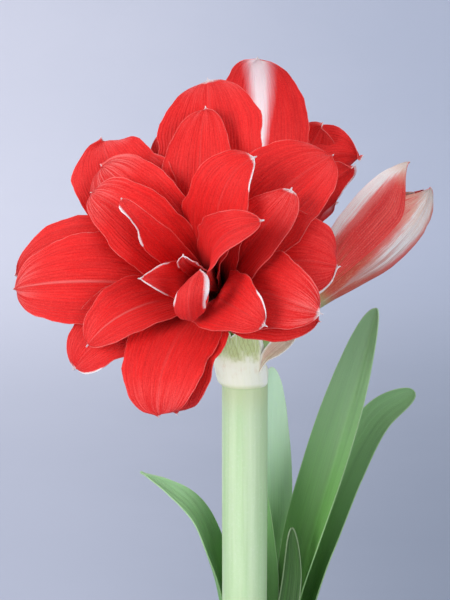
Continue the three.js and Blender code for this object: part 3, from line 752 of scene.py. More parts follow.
def petal_finish(name, settings, outside):
    s = Shader(name)
    along = s.attribute("along")
    coarse, fine, lines = petal_veins(s)
    grain = s.noise(s.place(), 1500.0, 2.0)
    rough_edge = (fine - 0.5) * 1.1 + (grain - 0.5) * 0.9
    patchy = (coarse + rough_edge * 0.2).step(0.4, 0.66)
    frost = s.attribute("frost") * s.attribute("tip").step(24, 2) * patchy
    midrib = abs(s.attribute("across")).step(0.06, 0.0) * s.attribute("ridge") * along.step(0.35, 0.7)
    red = settings.petal_outside if outside else settings.petal_red
    coats = [
        (coarse.step(0.3, 0.72), [part * 1.05 for part in red]),
        (s.attribute("own") * 0.2, (0.55, 0.006, 0.009)),
        (lines.step(0.5, 0.05) * 0.28, settings.petal_vein),
        (fine.step(0.45, 0.75) * 0.32, settings.petal_sheen),
        # Fine specks painted lighter and darker: painted sparkle highlights of the petal's cells
        (grain.step(0.48, 0.72) * 0.3, settings.petal_sheen),
        (grain.step(0.48, 0.3) * 0.3, settings.petal_vein),
        # Partly the petals' maroon base and partly painted shade: the petals darken towards the claw, deep in
        # the throat
        (along.step(0.45, 0.12) * 0.9, settings.throat),
        (frost * 0.6, settings.frost),
        (midrib * 0.6, settings.frost),
    ]
    if outside:
        reach = along.step(0.35, 1.0) * 5.5 + 1.5
        wander = (coarse - 0.5) * 3.4 + (fine - 0.5) * 2.2
        band = abs(s.attribute("off") + wander) / reach
        stripe = band.step(1.7, 0.8) * along.step(0.28, 0.5) * s.attribute("stripe")
        coats += [
            (stripe * 0.7, settings.stripe),
            (band.step(1.1, 0.3) * stripe * 0.9, settings.white),
            (along.step(0.2, 0.05), (0.50, 0.58, 0.30)),
        ]
    rim_white = s.attribute("rim_white")
    margin = ((s.attribute("rim") + rough_edge) / rim_white).step(1.0, 0.3) * along.step(0.3, 0.42)
    point = ((s.attribute("tip") + rough_edge * 1.8) / s.attribute("tip_white")).step(1.05, 0.55)
    coats += [
        (margin * 0.55, settings.rim),
        (margin * rim_white.step(0.5, 1.0), settings.white),
        (point * 0.92, settings.white),
    ]
    height = lines * 0.3 + coarse * 0.45 + fine * 0.32 + grain * 0.35
    return s.finish(
        Base_Color=s.coats([part * 0.85 for part in red], *coats),
        Roughness=0.46 + 0.2 * fine,
        Normal=s.bump(height, 0.0006, 0.85),
        Specular_IOR_Level=0.22,
        Sheen_Weight=0.05,
        Sheen_Roughness=0.4,
        flesh=(0.1, (1.0, 0.10, 0.06), 0.003),
    )


def flower_tube(flower, settings, name):
    """The short tube that the petals' claws stand in, open towards the throat."""
    s = Shader(name + "_tube")
    coarse, fine = s.noise(s.place(), 300.0), s.noise(s.place(), 1200.0)
    length = s.attribute("along")
    body = s.coats(
        (0.48, 0.60, 0.27),
        (length.step(0.25, 1.0), settings.petal_outside),
        (coarse.step(0.4, 0.7) * 0.2, (0.72, 0.30, 0.24)),
    )
    material = s.finish(Base_Color=body, Roughness=0.5, Normal=s.bump(fine, 0.0003, 0.5))

    rows = [(0, -3, 0.05), (0.1, -3, 5.6), (0.35, 5, 7.2), (0.7, 14, 9.5), (1, 24, 13.5)]

    def place(along, across):
        turn = np.pi * across
        height, radius = followed(rows, along)
        return flower.round(turn, radius * (1 + 0.06 * np.cos(3 * turn)), height), {"along": along}

    return sewn(sheet("tube", 36, 20, place, 0.9, [material], 0.9), 0.08)


def bloom(place, petals, settings, name, seed):
    flower = Flower(**place)
    inside = petal_finish(name + "_inside", settings, False)
    outside = petal_finish(name + "_outside", settings, True)
    pieces = grown_petals(flower, petals, settings, [inside, outside], seed)
    made = joined("grown_" + name, [*pieces, flower_tube(flower, settings, name)])
    shaded(made)
    return stands_for(made, name)


# The bud

def bud_finish(settings):
    s = Shader("bud_outside")
    along = s.attribute("along")
    coarse, fine, lines = petal_veins(s)
    grain = s.noise(s.place(), 1500.0, 2.0)
    reach = s.attribute("stripe") * along.step(0.15, 0.6)
    wander = (coarse - 0.5) * 8 + (fine - 0.5) * 5
    band = (abs(s.attribute("off")) + wander) / reach.above(0.5)
    stained = (along - s.attribute("stain") + (coarse - 0.5)).step(0.0, -0.32)
    beige = (s.attribute("tip") / s.attribute("beige")).step(1.0, 0.3) * (coarse + fine - 1).step(-0.3, 0.2)
    body = s.coats(
        settings.bud_red,
        (coarse.step(0.3, 0.7), (0.92, 0.075, 0.06)),
        (lines.step(0.5, 0.0) * 0.45, (0.50, 0.008, 0.012)),
        (band.step(1.75, 1.0), settings.bud_pink),
        (band.step(1.15, 0.5), settings.bud_white),
        (lines.step(0.4, 0.0) * band.step(1.7, 0.9) * 0.5, (0.86, 0.24, 0.21)),
        (stained * 0.7, (0.62, 0.10, 0.05)),
        (fine.step(0.5, 0.75) * 0.55 * stained, (0.82, 0.50, 0.30)),
        (along.step(0.2, 0.06), (0.45, 0.52, 0.22)),
        (beige * 0.75, (0.86, 0.56, 0.42)),
        # Fine specks painted lighter and darker: painted sparkle highlights
        (grain.step(0.5, 0.75) * 0.16, (0.95, 0.60, 0.52)),
        (grain.step(0.5, 0.3) * 0.16, (0.62, 0.10, 0.10)),
    )
    height = lines * 0.4 + coarse * 0.45 + fine * 0.3 + grain * 0.22
    return s.finish(
        Base_Color=body,
        Roughness=0.45 + 0.2 * fine,
        Normal=s.bump(height, 0.0006, 0.85),
        Specular_IOR_Level=0.3,
        Sheen_Weight=0.06,
        flesh=(0.1, (1.0, 0.3, 0.25), 0.003),
    )


def sepal_surface(flower, sepal, seed):
    """What places a sepal's points on the bud's skin, with the facts that its finish needs."""
    luck = np.random.default_rng(seed)
    phases = luck.uniform(0, 2 * np.pi, 3)
    own = luck.uniform(0, 1)
    reach, radii = zip(*BUD_SKIN)
    bow_reach, bows = zip(*BUD_BOW)

    def place(along, across):
        u = crowded(along, 1.35)
        height = mix(reach[0], sepal["tip"], u)
        closing = np.clip((u - 0.7) / 0.3, 0, 1)
        share = np.maximum((1 - closing ** 1.6) ** 0.75, 0.006)
        turn = np.radians(sepal["centre"] + sepal["wrap"] * across * share)
        radius = np.interp(height, reach, radii) + sepal["lift"] * smooth(height / 25)
        half = radius * np.radians(sepal["wrap"]) * share
        free = smooth(height / 40)
        radius = radius + 0.5 * np.abs(across) ** 6 * free - 0.4 * np.exp(-(across * half / 1.8) ** 2) * free
        radius = radius + 0.25 * np.sin(9 * across + phases[0]) * free
        radius = radius + 0.5 * np.sin(6 * u + phases[1] + 2 * across) * across ** 2 * free
        middle = np.interp(height, bow_reach, bows)
        tip_gap = (1 - u) * (sepal["tip"] - reach[0])
        return flower.round(turn, radius, height, middle), blade_facts(
            u, across, half, own, tip=tip_gap, tip_white=0.6, rim_white=0.3, frost=0.1, ridge=0.0,
            stripe=sepal["stripe"], stain=sepal["stain"], beige=sepal["beige"], veins=1.9,
        )

    return place


def bud(settings):
    flower = Flower(**BUD)
    outside = bud_finish(settings)
    inside = petal_finish("bud_inside", settings, False)
    made = joined("grown_bud", [
        sheet("sepal", 44, 60, sepal_surface(flower, sepal, SEED + 60 + number), 0.8, [inside, outside])
        for number, sepal in enumerate([*BUD_SEPALS, *BUD_PETALS])
    ])
    shaded(made)
    return stands_for(made, "bud")


# Stalks

def stalk_finish(settings):
    s = Shader("flower_stalk")
    coarse = s.noise(s.place(), 120.0, 3.0)
    fine = s.noise(s.place(), 900.0, 2.0)
    body = s.coats(
        settings.pedicel,
        (coarse.step(0.35, 0.7), (0.36, 0.52, 0.17)),
        (fine.step(0.55, 0.8) * 0.25, (0.62, 0.70, 0.42)),
    )
    return s.finish(
        Base_Color=body, Roughness=0.42, Normal=s.bump(coarse + fine * 0.4, 0.0005, 0.5),
        flesh=(0.1, (0.6, 1.0, 0.3), 0.002),
    )


def flower_stalk(place, name, material):
    """A flower's stalk, which bends to the flower's axis and swells into the three-lobed ovary."""
    flower = Flower(**place)
    neck = flower.root - flower.axis * SEAT - flower.axis * PEDICEL["length"]
    foot = np.array([
        SCAPE["x"] + SCAPE["lean"] + PEDICEL["ring"] * math.sin(flower.foot),
        SCAPE["y"] - PEDICEL["ring"] * math.cos(flower.foot),
        SCAPE["top"] + GAP,
    ])
    bend = np.linalg.norm(neck - foot) * 0.45
    corners = [foot, foot + np.array([0, 0, bend]), neck - flower.axis * bend, neck + flower.axis * 4]
    line = bezier(corners, np.linspace(0, 1, 28))
    share = np.linspace(0, 1, 28)
    radii = PEDICEL["radius"] * (1 + 0.06 * np.cos(np.pi * share) ** 2)
    stalk = stem("stalk", line, radii, material, 8)

    def ovary_place(along, across):
        turn = np.pi * across
        radius = np.interp(
            along, [0, 0.06, 0.22, 0.5, 0.78, 0.94, 1], [0.05, 4.4, 6.3, PEDICEL["ovary"], 7.2, 6.0, 0.05],
        )
        radius = radius * (1 + 0.09 * np.cos(3 * turn))
        height = PEDICEL["length"] * np.interp(along, [0, 0.06, 0.94, 1], [0, 0.01, 0.99, 1.0])
        return flower.round(turn, radius, height - SEAT - PEDICEL["length"]), {}

    ovary = wrapped("ovary", 36, 30, ovary_place, material)
    made = joined("grown_" + name, [stalk, ovary])
    shaded(made)
    return stands_for(made, name)


def scape_finish(settings):
    s = Shader("scape_skin")
    place = s.place()
    height = s.part(place, "Z")
    ribs = s.noise(s.stretched(place, 1, 1, 0.03), 480.0, 3.0, 0.6)
    broad = s.noise(s.stretched(place, 1, 1, 0.05), 110.0, 2.0)
    wax = s.noise(place, 700.0, 4.0, 0.65)
    body = s.coats(
        settings.scape,
        (broad.step(0.35, 0.68), settings.scape_streak),
        (ribs.step(0.45, 0.75) * 0.3, (0.33, 0.50, 0.22)),
        (ribs.step(0.4, 0.2) * 0.3, (0.66, 0.76, 0.56)),
        (wax.step(0.5, 0.75) * 0.22, (0.72, 0.80, 0.70)),
        # Painted shadow: a darker, yellower green band on the scape just under the collar's overhanging lip
        (height.step(0.376, 0.396) * 0.6, (0.52, 0.60, 0.32)),
        (height.step(0.3967, 0.3985), settings.collar),
        (height.step(0.30, 0.20) * 0.5, (0.36, 0.50, 0.20)),
    )
    return s.finish(
        Base_Color=body,
        Roughness=0.42 + 0.15 * wax,
        Normal=s.bump(ribs * 0.7 + wax * 0.25, 0.0005, 0.6),
        Specular_IOR_Level=0.5,
        flesh=(0.12, (0.7, 1.0, 0.4), 0.003),
    )


def scape(settings):
    """The scape with its swollen collar and overhanging lip."""
    lip, top, radius, collar = (SCAPE[name] for name in ("lip", "top", "radius", "collar"))
    rows = [
        (0, LEAF_SEAT, 0.05), (0.01, LEAF_SEAT + 0.2, radius - 0.6), (0.2, 260, radius - 0.2),
        (0.4, 340, radius), (0.5, lip - 3, radius), (0.54, lip - 1, radius), (0.58, lip, radius + 0.1),
        (0.62, lip + 1.2, radius + 0.3), (0.7, lip + 3, radius + 0.7), (0.78, lip + 6, collar),
        (0.86, lip + 8, collar), (0.94, top - 1.5, collar - 0.2), (0.985, top - 0.3, collar - 1.2),
        (1, top, 0.05),
    ]

    def place(along, across):
        turn = np.pi * across
        height, wide = followed(rows, along)
        droop = smooth((height - lip + 6) / 6) * smooth((top - height) / 10)
        uneven = 1 + 0.006 * np.cos(7 * turn) + 0.004 * np.cos(13 * turn + 1)
        height = height - droop * 1.2 * np.cos(turn)
        lean = SCAPE["lean"] * np.clip((height - lip) / (top - lip), 0, 1)
        return around(turn, wide * uneven, height, SCAPE["x"] + lean, SCAPE["y"]), {}

    made = wrapped("grown_scape", 72, 90, place, scape_finish(settings))
    shaded(made)
    return stands_for(made, "scape")


# The spathe

def spathe_finish(settings):
    s = Shader("spathe_paper")
    along = s.attribute("along")
    across = s.attribute("across")
    papery = s.attribute("papery")
    blush = s.attribute("blush")
    grain = s.noise(s.place(), 1400.0, 2.0)
    patch = s.noise(s.place(), 190.0, 3.0, 0.6)
    lines = s.noise(s.spread(across * 16, along * 1.6, blush * 3), 1.0, 2.0, 0.6)
    rising = abs((across * 30 + along * 17 + patch * 4).wave()).step(0.45, 0.0)
    falling = abs((across * 30 - along * 15 + patch * 3).wave()).step(0.35, 0.0)
    net = rising.above(falling * 0.7)
    stain = (patch + (lines - 0.5) * 0.6).step(0.5, 0.75) * along.step(0.14, 0.34)
    green = (papery + (patch - 0.5) * 0.6).step(0.05, 0.4)
    pink = blush * (papery + (lines - 0.5) * 1.4).step(-0.2, 0.3)
    edge = (s.attribute("rim") + (grain - 0.5) * 0.8).step(1.3, 0.4)
    body = s.coats(
        settings.collar,
        (lines.step(0.35, 0.7) * 0.5, (0.80, 0.84, 0.64)),
        (along.step(0.1, 0.0) * 0.7, (0.70, 0.76, 0.40)),
        (stain * 0.4, (0.74, 0.56, 0.42)),
        (green * 0.9, settings.spathe),
        (net * green * 0.5, (0.34, 0.33, 0.12)),
        (green * lines.step(0.52, 0.7) * 0.5, (0.80, 0.84, 0.62)),
        (pink * 0.8, (0.74, 0.55, 0.47)),
        (blush * lines.step(0.52, 0.64) * 0.6, (0.50, 0.17, 0.13)),
        (edge * 0.85, (0.88, 0.88, 0.78)),
    )
    return s.finish(
        Base_Color=body,
        Roughness=0.5 + 0.2 * grain,
        Normal=s.bump(lines * 0.6 + net * green * 0.5 + grain * 0.2, 0.0005, 0.8),
        Specular_IOR_Level=0.4,
        flesh=(0.15, (1.0, 0.9, 0.5), 0.002),
    )


def spathe_front(material):
    """The front valve: its fleshy foot wraps the collar, and its papery top stands round the stalks."""
    lip, top = SCAPE["lip"] + GAP, SCAPE["top"]
    foot_share = 0.38

    def place(along, across):
        fleshy = np.clip(along / foot_share, 0, 1)
        papery = np.clip((along - foot_share) / (1 - foot_share), 0, 1)
        turn = np.radians(mix(-122, 58 + 22 * papery, (across + 1) / 2))
        rise = 22 + 2.5 * np.sin(4.2 * turn) + 1.5 * np.cos(9 * turn) + 0.5 * np.sin(37 * turn)
        height = lip + (top - lip) * fleshy + rise * papery
        radius = np.interp(
            along, [0, 0.05, 0.14, 0.26, foot_share, 0.6, 1], [13.6, 14.9, 15.3, 15.5, 15.6, 14.0, 12.0],
        )
        radius = radius + (0.5 * np.sin(3 * turn) + 0.3 * np.sin(14 * turn + 5 * along)) * papery
        radius = radius + 0.12 * np.sin(5 * turn + 1) * fleshy
        sag = 1.3 * np.cos(turn) * (1 - fleshy)
        x = SCAPE["x"] + SCAPE["lean"] * fleshy - 2 * papery ** 2
        y = SCAPE["y"] - 5 * papery ** 2
        return around(turn, radius, height - sag, x, y), {
            "along": along,
            "across": across,
            "papery": papery,
            "blush": 0.0,
            "rim": np.minimum((1 - across) * 4, np.minimum((1 + across) * 20, (1 - along) * 36)),
        }

    made = sheet("grown_spathe_front", 72, 40, place, 1.2, [material], 0.35)
    shaded(made, 60)
    return stands_for(made, "spathe_front")


def spathe_side(material):
    lip, foot = SCAPE["lip"], SCAPE["top"] + GAP
    valve = dict(
        crease=[
            (-1.5, -22, lip + 5), (0.2, -22.2, lip + 9), (4.2, -21.8, foot + 4.5), (10, -21, foot + 10),
            (17.2, -19.5, foot + 16.5), (24.5, -17.5, foot + 25),
        ],
        width=11, face=(-60, -35), cup=0.8, cup_tip=0.5, fold=0.2, base=0.2, tip=0.8,
    )
    surface = leaf_surface(valve, 0.12, SEED)

    def place(along, across):
        points, facts = surface(along, across)
        facts["papery"] = smooth((points[:, 2] - foot) / 20)
        facts["blush"] = 1.0
        return points, facts

    made = sheet("grown_spathe_side", 20, 48, place, 0.8, [material], 0.4)
    shaded(made, 60)
    return stands_for(made, "spathe_side")


# Leaves

def leaf_surface(leaf, flute, seed):
    p = {**LEAF, **leaf}
    line = curve_through(p["crease"])
    phases = np.random.default_rng(seed).uniform(0, 6.28, 3)

    def place(along, across):
        u = crowded(along, 1.2)
        middle, tangent, length = evenly(line, u)
        facing = np.radians(mix(p["face"][0], p["face"][1], smooth(u / 0.8)))
        inner = square_to(tangent, around(facing, 1, 0 * facing))
        side = np.cross(inner, tangent)
        rising = mix(p["base"], 1, smooth(u / 0.5))
        falling = (1 - np.clip(2 * u - 1, 0, 1) ** 2.4) ** p["tip"]
        outline = np.where(u < 0.5, rising, falling)
        half = np.maximum(p["width"] / 2 * outline * (1 - np.sign(across) * p["skew"]), 0.5)
        half = half * (1 + 0.012 * np.sin(19 * u + phases[0]) * np.abs(across) ** 2)
        angle = mix(p["cup"], p["cup_tip"], smooth(u / 0.7))
        lift = half / angle * (1 - np.cos(across * angle))
        lift += p["fold"] * smooth(u / 0.4) * half * (np.sqrt(across ** 2 + 0.02) - 0.14)
        lift += flute * np.cos(across * half * 1.9) * smooth(u / 0.2) * smooth((1 - u) / 0.15)
        lift += 0.5 * np.sin(11 * u + phases[1]) * np.abs(across) ** 3 * smooth(u / 0.5)
        points = middle + side * (half / angle * np.sin(across * angle))[:, None] + inner * lift[:, None]
        return points, {
            "along": u,
            "across": across,
            "rim": np.minimum(half * (1 - np.abs(across)), (1 - u) * length + 0.2),
            # Painted reflection: one half's tone is lighter than the other's, for the sky's reflection on its
            # gloss
            "tone": p["tone"] - p["split"] * smooth(across * 4 + 0.5),
            "bloom": p["bloom"],
        }

    return place


def leaf_finish(settings):
    s = Shader("leaf_skin")
    along = s.attribute("along")
    across = s.attribute("across")
    tone = s.attribute("tone")
    veins = s.noise(s.spread(across * 26, along * 2, tone * 17), 1.0, 2.0, 0.55)
    broad = s.noise(s.spread(across * 3, along * 4, tone * 29), 1.0, 2.0)
    grain = s.noise(s.place(), 1300.0, 2.0)
    body = s.coats(
        settings.leaf_dark,
        # tone carries the painted reflection that makes one half of a leaf lighter than the other
        (tone, settings.leaf_light),
        (veins.step(0.35, 0.7) * 0.3, (0.13, 0.35, 0.07)),
        (broad.step(0.4, 0.7) * 0.3, (0.06, 0.17, 0.03)),
        (s.attribute("bloom") * along.step(0.5, 0.9) * 0.85, settings.leaf_wax),
        (along.step(0.3, 0.0) * 0.4, (0.24, 0.34, 0.10)),
        (s.attribute("rim").step(0.5, 0.15) * 0.28, settings.leaf_margin),
    )
    return s.finish(
        Base_Color=body,
        Roughness=0.36 + 0.16 * veins,
        Normal=s.bump(veins * 0.7 + grain * 0.2, 0.0005, 0.6),
        Specular_IOR_Level=0.35,
        flesh=(0.08, (0.5, 1.0, 0.2), 0.002),
    )


def leaf(name, settings, material, seed):
    made = sheet(
        "grown_" + name, 18, 100, leaf_surface(LEAVES[name], 0.16, seed),
        settings.leaf_thickness / MM, [material], 0.35,
    )
    shaded(made)
    return stands_for(made, name)


# The bulb

def bulb_radius(height):
    return followed(BULB_PROFILE, height)[0]


def tunic_finish(settings):
    s = Shader("bulb_tunic")
    place = s.place()
    height = s.part(place, "Z")
    lines = s.noise(s.stretched(place, 1, 1, 0.12), 420.0, 3.0, 0.65)
    patch = s.noise(place, 38.0, 3.0, 0.6)
    grain = s.noise(place, 900.0, 3.0)
    body = s.coats(
        settings.tunic,
        (patch.step(0.35, 0.68), (0.50, 0.30, 0.13)),
        (lines.step(0.4, 0.72) * 0.5, (0.20, 0.09, 0.035)),
        (lines.step(0.5, 0.3) * 0.25, (0.62, 0.45, 0.25)),
        (height.step(0.168, 0.186) * 0.7, (0.50, 0.52, 0.26)),
    )
    return s.finish(
        Base_Color=body, Roughness=0.55 + 0.2 * grain,
        Normal=s.bump(lines * 0.8 + grain * 0.25, 0.0009, 0.8), Specular_IOR_Level=0.35,
    )


def bulb(settings):
    """The bulb with dry torn tunics round it, its neck sleeve and its roots."""
    material = tunic_finish(settings)
    rows = [
        (0, BULB_FOOT, 0.002), (0.04, BULB_FOOT + 0.1, 1), (0.9, BULB_NECK, 1), (0.93, BULB_NECK, 0.9),
        (0.96, BULB_NECK - 6, 0.86), (1, BULB_NECK - 6.2, 0.002),
    ]

    def body_place(along, across):
        turn = np.pi * across
        height, share = followed(rows, along)
        radius = bulb_radius(height) * (1 + 0.008 * np.cos(5 * turn) + 0.006 * np.cos(11 * turn + 2))
        return around(turn, radius * share, height), {}

    pieces = [wrapped("bulb_body", 96, 70, body_place, material)]
    luck = np.random.default_rng(SEED)
    for first, last, top, lift in [
        (-20, 150, 168, 0.8), (110, 290, 178, 0.7), (230, 385, 160, 1.2), (40, 170, 146, 1.6),
        (-90, 20, 150, 1.7), (180, 262, 140, 2.0),
    ]:
        phases = luck.uniform(0, 6.28, 4)

        def tunic_place(along, across, first=first, last=last, top=top, lift=lift, phases=phases):
            turn = np.radians(mix(first, last, (across + 1) / 2))
            ragged = 5 * np.sin(3 * turn + phases[0]) + 2.5 * np.sin(11 * turn + phases[1])
            ragged = ragged + 1.2 * np.sin(29 * turn + phases[2])
            height = mix(BULB_FOOT + 4, top + ragged, along)
            loose = lift + 1.4 * smooth((along - 0.75) / 0.25) * (1 + np.sin(5 * turn + phases[3]))
            loose = loose + 1.2 * np.abs(across) ** 6
            radius = bulb_radius(height) * (1 + 0.008 * np.cos(5 * turn)) + loose
            return around(turn, radius, height), {}

        pieces.append(sheet("tunic", 60, 34, tunic_place, 0.35, [material], 0.7))
    for number in range(5):
        angle = 2 * math.pi * (number + 0.3 * math.sin(5 * number)) / 5
        low = 26 + 7 * math.sin(3 * number)
        line = curve_through([
            (12 * math.cos(angle), 12 * math.sin(angle), 94),
            (20 * math.cos(angle + 0.2), 20 * math.sin(angle + 0.2), 76),
            (34 * math.cos(angle + 0.1), 34 * math.sin(angle + 0.1), (BULB_FOOT + low) / 2),
            (30 * math.cos(angle + 0.45), 30 * math.sin(angle + 0.45), low),
        ])[::6]
        pieces.append(stem("root", line, np.linspace(2.8, 1.2, len(line)), material, 3))
    made = joined("grown_bulb", pieces)
    shaded(made)
    return stands_for(made, "bulb")


# The compost

def compost_finish(settings):
    s = Shader("potting_compost")
    place = s.place()
    crumbs = s.noise(place, 240.0, 5.0, 0.7)
    specks = s.specks(place, 420.0)
    body = s.coats(
        settings.compost,
        (crumbs.step(0.35, 0.65), (0.085, 0.052, 0.032)),
        (specks.step(0.32, 0.1) * 0.35, (0.16, 0.10, 0.055)),
    )
    return s.finish(
        Base_Color=body, Roughness=0.93, Normal=s.bump(crumbs + specks * 0.5, 0.002, 0.9),
        Specular_IOR_Level=0.2,
    )


def compost(settings):
    """The compost, with a crumbly top of loose grains round the bulb."""
    material = compost_finish(settings)
    foot, level, edge = COMPOST["foot"], COMPOST["level"], COMPOST["radius"]
    rows = [
        (0, foot, 0.05), (0.08, foot, COMPOST["foot_radius"]), (0.3, level, edge), (0.3001, level, edge),
        (1, level, 0.05),
    ]

    def crumbly(x, y):
        coarse = np.sin(0.37 * x + 1.3) * np.cos(0.41 * y)
        fine = np.sin(0.19 * x * np.cos(0.05 * y) - 0.3 * y)
        return 1.4 * (coarse + 0.6 * fine)

    def place(along, across):
        turn = np.pi * across
        height, radius = followed(rows, along)
        x = radius * np.sin(turn)
        y = -radius * np.cos(turn)
        small = 0.7 * np.sin(0.9 * x + 0.3 * y) * np.sin(1.1 * y - 0.2 * x)
        top = smooth((height - level + 2) / 2)
        return np.stack([x, y, height + top * (crumbly(x, y) + small)], -1), {}

    pieces = [wrapped("compost_body", 96, 90, place, material)]
    bpy.ops.object.select_all(action="DESELECT")
    bpy.ops.mesh.primitive_ico_sphere_add(subdivisions=2, radius=1)
    grain = bpy.context.object
    grain.data.materials.append(material)
    shape = corners_of(grain)
    luck = np.random.default_rng(SEED + 5)
    for number in range(settings.grains):
        angle = luck.uniform(0, 2 * math.pi)
        radius = math.sqrt(luck.uniform(47.5 ** 2, 69.5 ** 2))
        x, y = radius * math.cos(angle), radius * math.sin(angle)
        size = min(luck.uniform(0.5, 1.9), max(0.5, COMPOST["wall"] - radius))
        stretch = luck.uniform(0.6, 1.3, 3)
        wave = luck.uniform(1.5, 4, 3)
        lumps = 1 + 0.22 * np.sin(shape @ wave * 2 + number)
        turn = luck.uniform(0, 6.28)
        sine, cosine = math.sin(turn), math.cos(turn)
        spin = np.array([[cosine, -sine, 0], [sine, cosine, 0], [0, 0, 1]])
        points = (shape * lumps[:, None] * stretch * size) @ spin.T
        points += (x, y, level + float(crumbly(x, y)) + 0.25 * size)
        copy = bpy.data.objects.new("crumb", grain.data.copy())
        bpy.context.scene.collection.objects.link(copy)
        move_corners(copy, points * MM)
        pieces.append(copy)
    bpy.data.objects.remove(grain)
    made = joined("grown_compost", pieces)
    shaded(made)
    return stands_for(made, "compost")


# The pot

def clay_finish(settings):
    s = Shader("pot_clay")
    place = s.place()
    height = s.part(place, "Z")
    patch = s.noise(place, 26.0, 4.0, 0.6)
    turning = s.noise(s.stretched(place, 0.1, 0.1, 1), 520.0, 3.0)
    grain = s.noise(place, 1500.0, 3.0, 0.6)
    pits = s.specks(place, 520.0)
    salts = patch.step(0.56, 0.74) * grain.step(0.35, 0.7) * height.step(0.13, 0.02)
    body = s.coats(
        settings.clay,
        (patch.step(0.35, 0.7), (0.60, 0.27, 0.15)),
        (turning.step(0.5, 0.8) * 0.3, (0.36, 0.13, 0.07)),
        (salts * 0.45, (0.72, 0.60, 0.50)),
    )
    return s.finish(
        Base_Color=body, Roughness=0.82 + 0.1 * grain,
        Normal=s.bump(turning * 0.5 + grain * 0.35 + pits * 0.2, 0.0008, 0.55), Specular_IOR_Level=0.25,
    )


def pot(settings):
    """A thrown clay pot with a band under its rim and three drain holes."""
    made = turned("grown_pot", POT_PROFILE, 128, clay_finish(settings))
    apply_modifier(made, "BEVEL", width=0.0009, segments=3, limit_method="ANGLE", angle_limit=0.45)
    holes = []
    for number in range(DRAINS["count"]):
        turn = 2 * math.pi * number / DRAINS["count"]
        ring = DRAINS["ring"] * MM
        bpy.ops.object.select_all(action="DESELECT")
        bpy.ops.mesh.primitive_cylinder_add(
            vertices=32, radius=DRAINS["radius"] * MM, depth=0.03,
            location=(ring * math.cos(turn), ring * math.sin(turn), 0.004),
        )
        holes.append(bpy.context.object)
    drill = joined("drill", holes)
    apply_modifier(made, "BOOLEAN", operation="DIFFERENCE", object=drill, solver="EXACT")
    bpy.data.objects.remove(drill)
    shaded(made, 35)
    return stands_for(made, "pot")


# The stage

def stage(settings):
    """A pale floor that rises into a wide bowl, painted lighter on its left and darker on its right and near
    the plant, soft light and the camera.
    """
    s = Shader("studio_floor")
    place = s.place()
    side = s.part(place, "X")
    depth = s.part(place, "Y")
    mottle = s.noise(place, 2.2, 4.0, 0.6)
    # Painted light: the floor is painted lighter on its left, darker on its right, and darker near the plant
    # than far off, for the fall of the light across the backdrop
    lean = (side / (depth + 1.2).above(2.2) + (mottle - 0.5) * 0.05).step(-0.14, 0.14)
    far = s.blend(lean, settings.far_painted_light, settings.far_painted_shade)
    near = s.blend(lean, settings.near_painted_light, settings.near_painted_shade)
    tone = s.blend(depth.step(5.0, 0.6), far, near)
    material = s.finish(Base_Color=tone, Roughness=0.9, Specular_IOR_Level=0.1)
    flat = 4000
    steps = 12
    turns = [math.pi / 2 * step / steps for step in range(steps + 1)]
    profile = [(flat + flat * math.sin(turn), flat * (1 - math.cos(turn))) for turn in turns]
    floor = turned("studio_floor", profile, 96, material, bowl=True)
    shaded(floor, 30)

    scene = bpy.context.scene
    world = bpy.data.worlds.new("studio_air")
    world.use_nodes = True
    background = world.node_tree.nodes["Background"]
    background.inputs["Color"].default_value = (*settings.air, 1)
    background.inputs["Strength"].default_value = settings.air_strength
    scene.world = world
    scene.view_settings.view_transform = "Standard"

    middle = Vector((-0.02, -0.02, 0.42))
    wall = Vector((-0.4, 6.0, 0.6))
    for name, spot, target, size, power, tint in [
        ("key", (-1.8, -1.5, 0.85), middle, 1.6, settings.key_power, (1.0, 0.98, 0.96)),
        ("fill", (1.3, -2.1, 0.55), middle, 1.8, settings.fill_power, (0.96, 0.98, 1.0)),
        ("rim", (-0.4, 0.9, 1.9), middle, 1.2, settings.rim_power, (0.96, 0.98, 1.0)),
        ("backdrop", (-1.2, 2.6, 3.4), wall, 2.5, settings.backdrop_power, (0.97, 0.98, 1.0)),
    ]:
        bpy.ops.object.select_all(action="DESELECT")
        bpy.ops.object.light_add(type="AREA", location=spot)
        light = bpy.context.object
        light.name = name
        light.data.shape = "DISK"
        light.data.size = size
        light.data.energy = power
        light.data.color = tint
        light.rotation_mode = "QUATERNION"
        light.rotation_quaternion = (Vector(spot) - target).to_track_quat("Z", "Y")

    bpy.ops.object.select_all(action="DESELECT")
    aim = Vector(settings.camera_aim)
    lift = settings.camera_elevation
    away = Vector((0, -math.cos(lift), math.sin(lift))) * settings.camera_distance
    bpy.ops.object.camera_add(location=aim + away, rotation=(math.pi / 2 - lift, 0, 0))
    camera = bpy.context.object
    camera.data.sensor_width = 36
    camera.data.lens = settings.camera_lens
    scene.camera = camera


# What a user would change

def hue(name, description, default):
    return bpy.props.FloatVectorProperty(
        name=name, description=description, subtype="COLOR", size=3, min=0, max=1, default=default,
    )


def watts(name, description, default):
    return bpy.props.FloatProperty(name=name, description=description, default=default, min=0, unit="POWER")


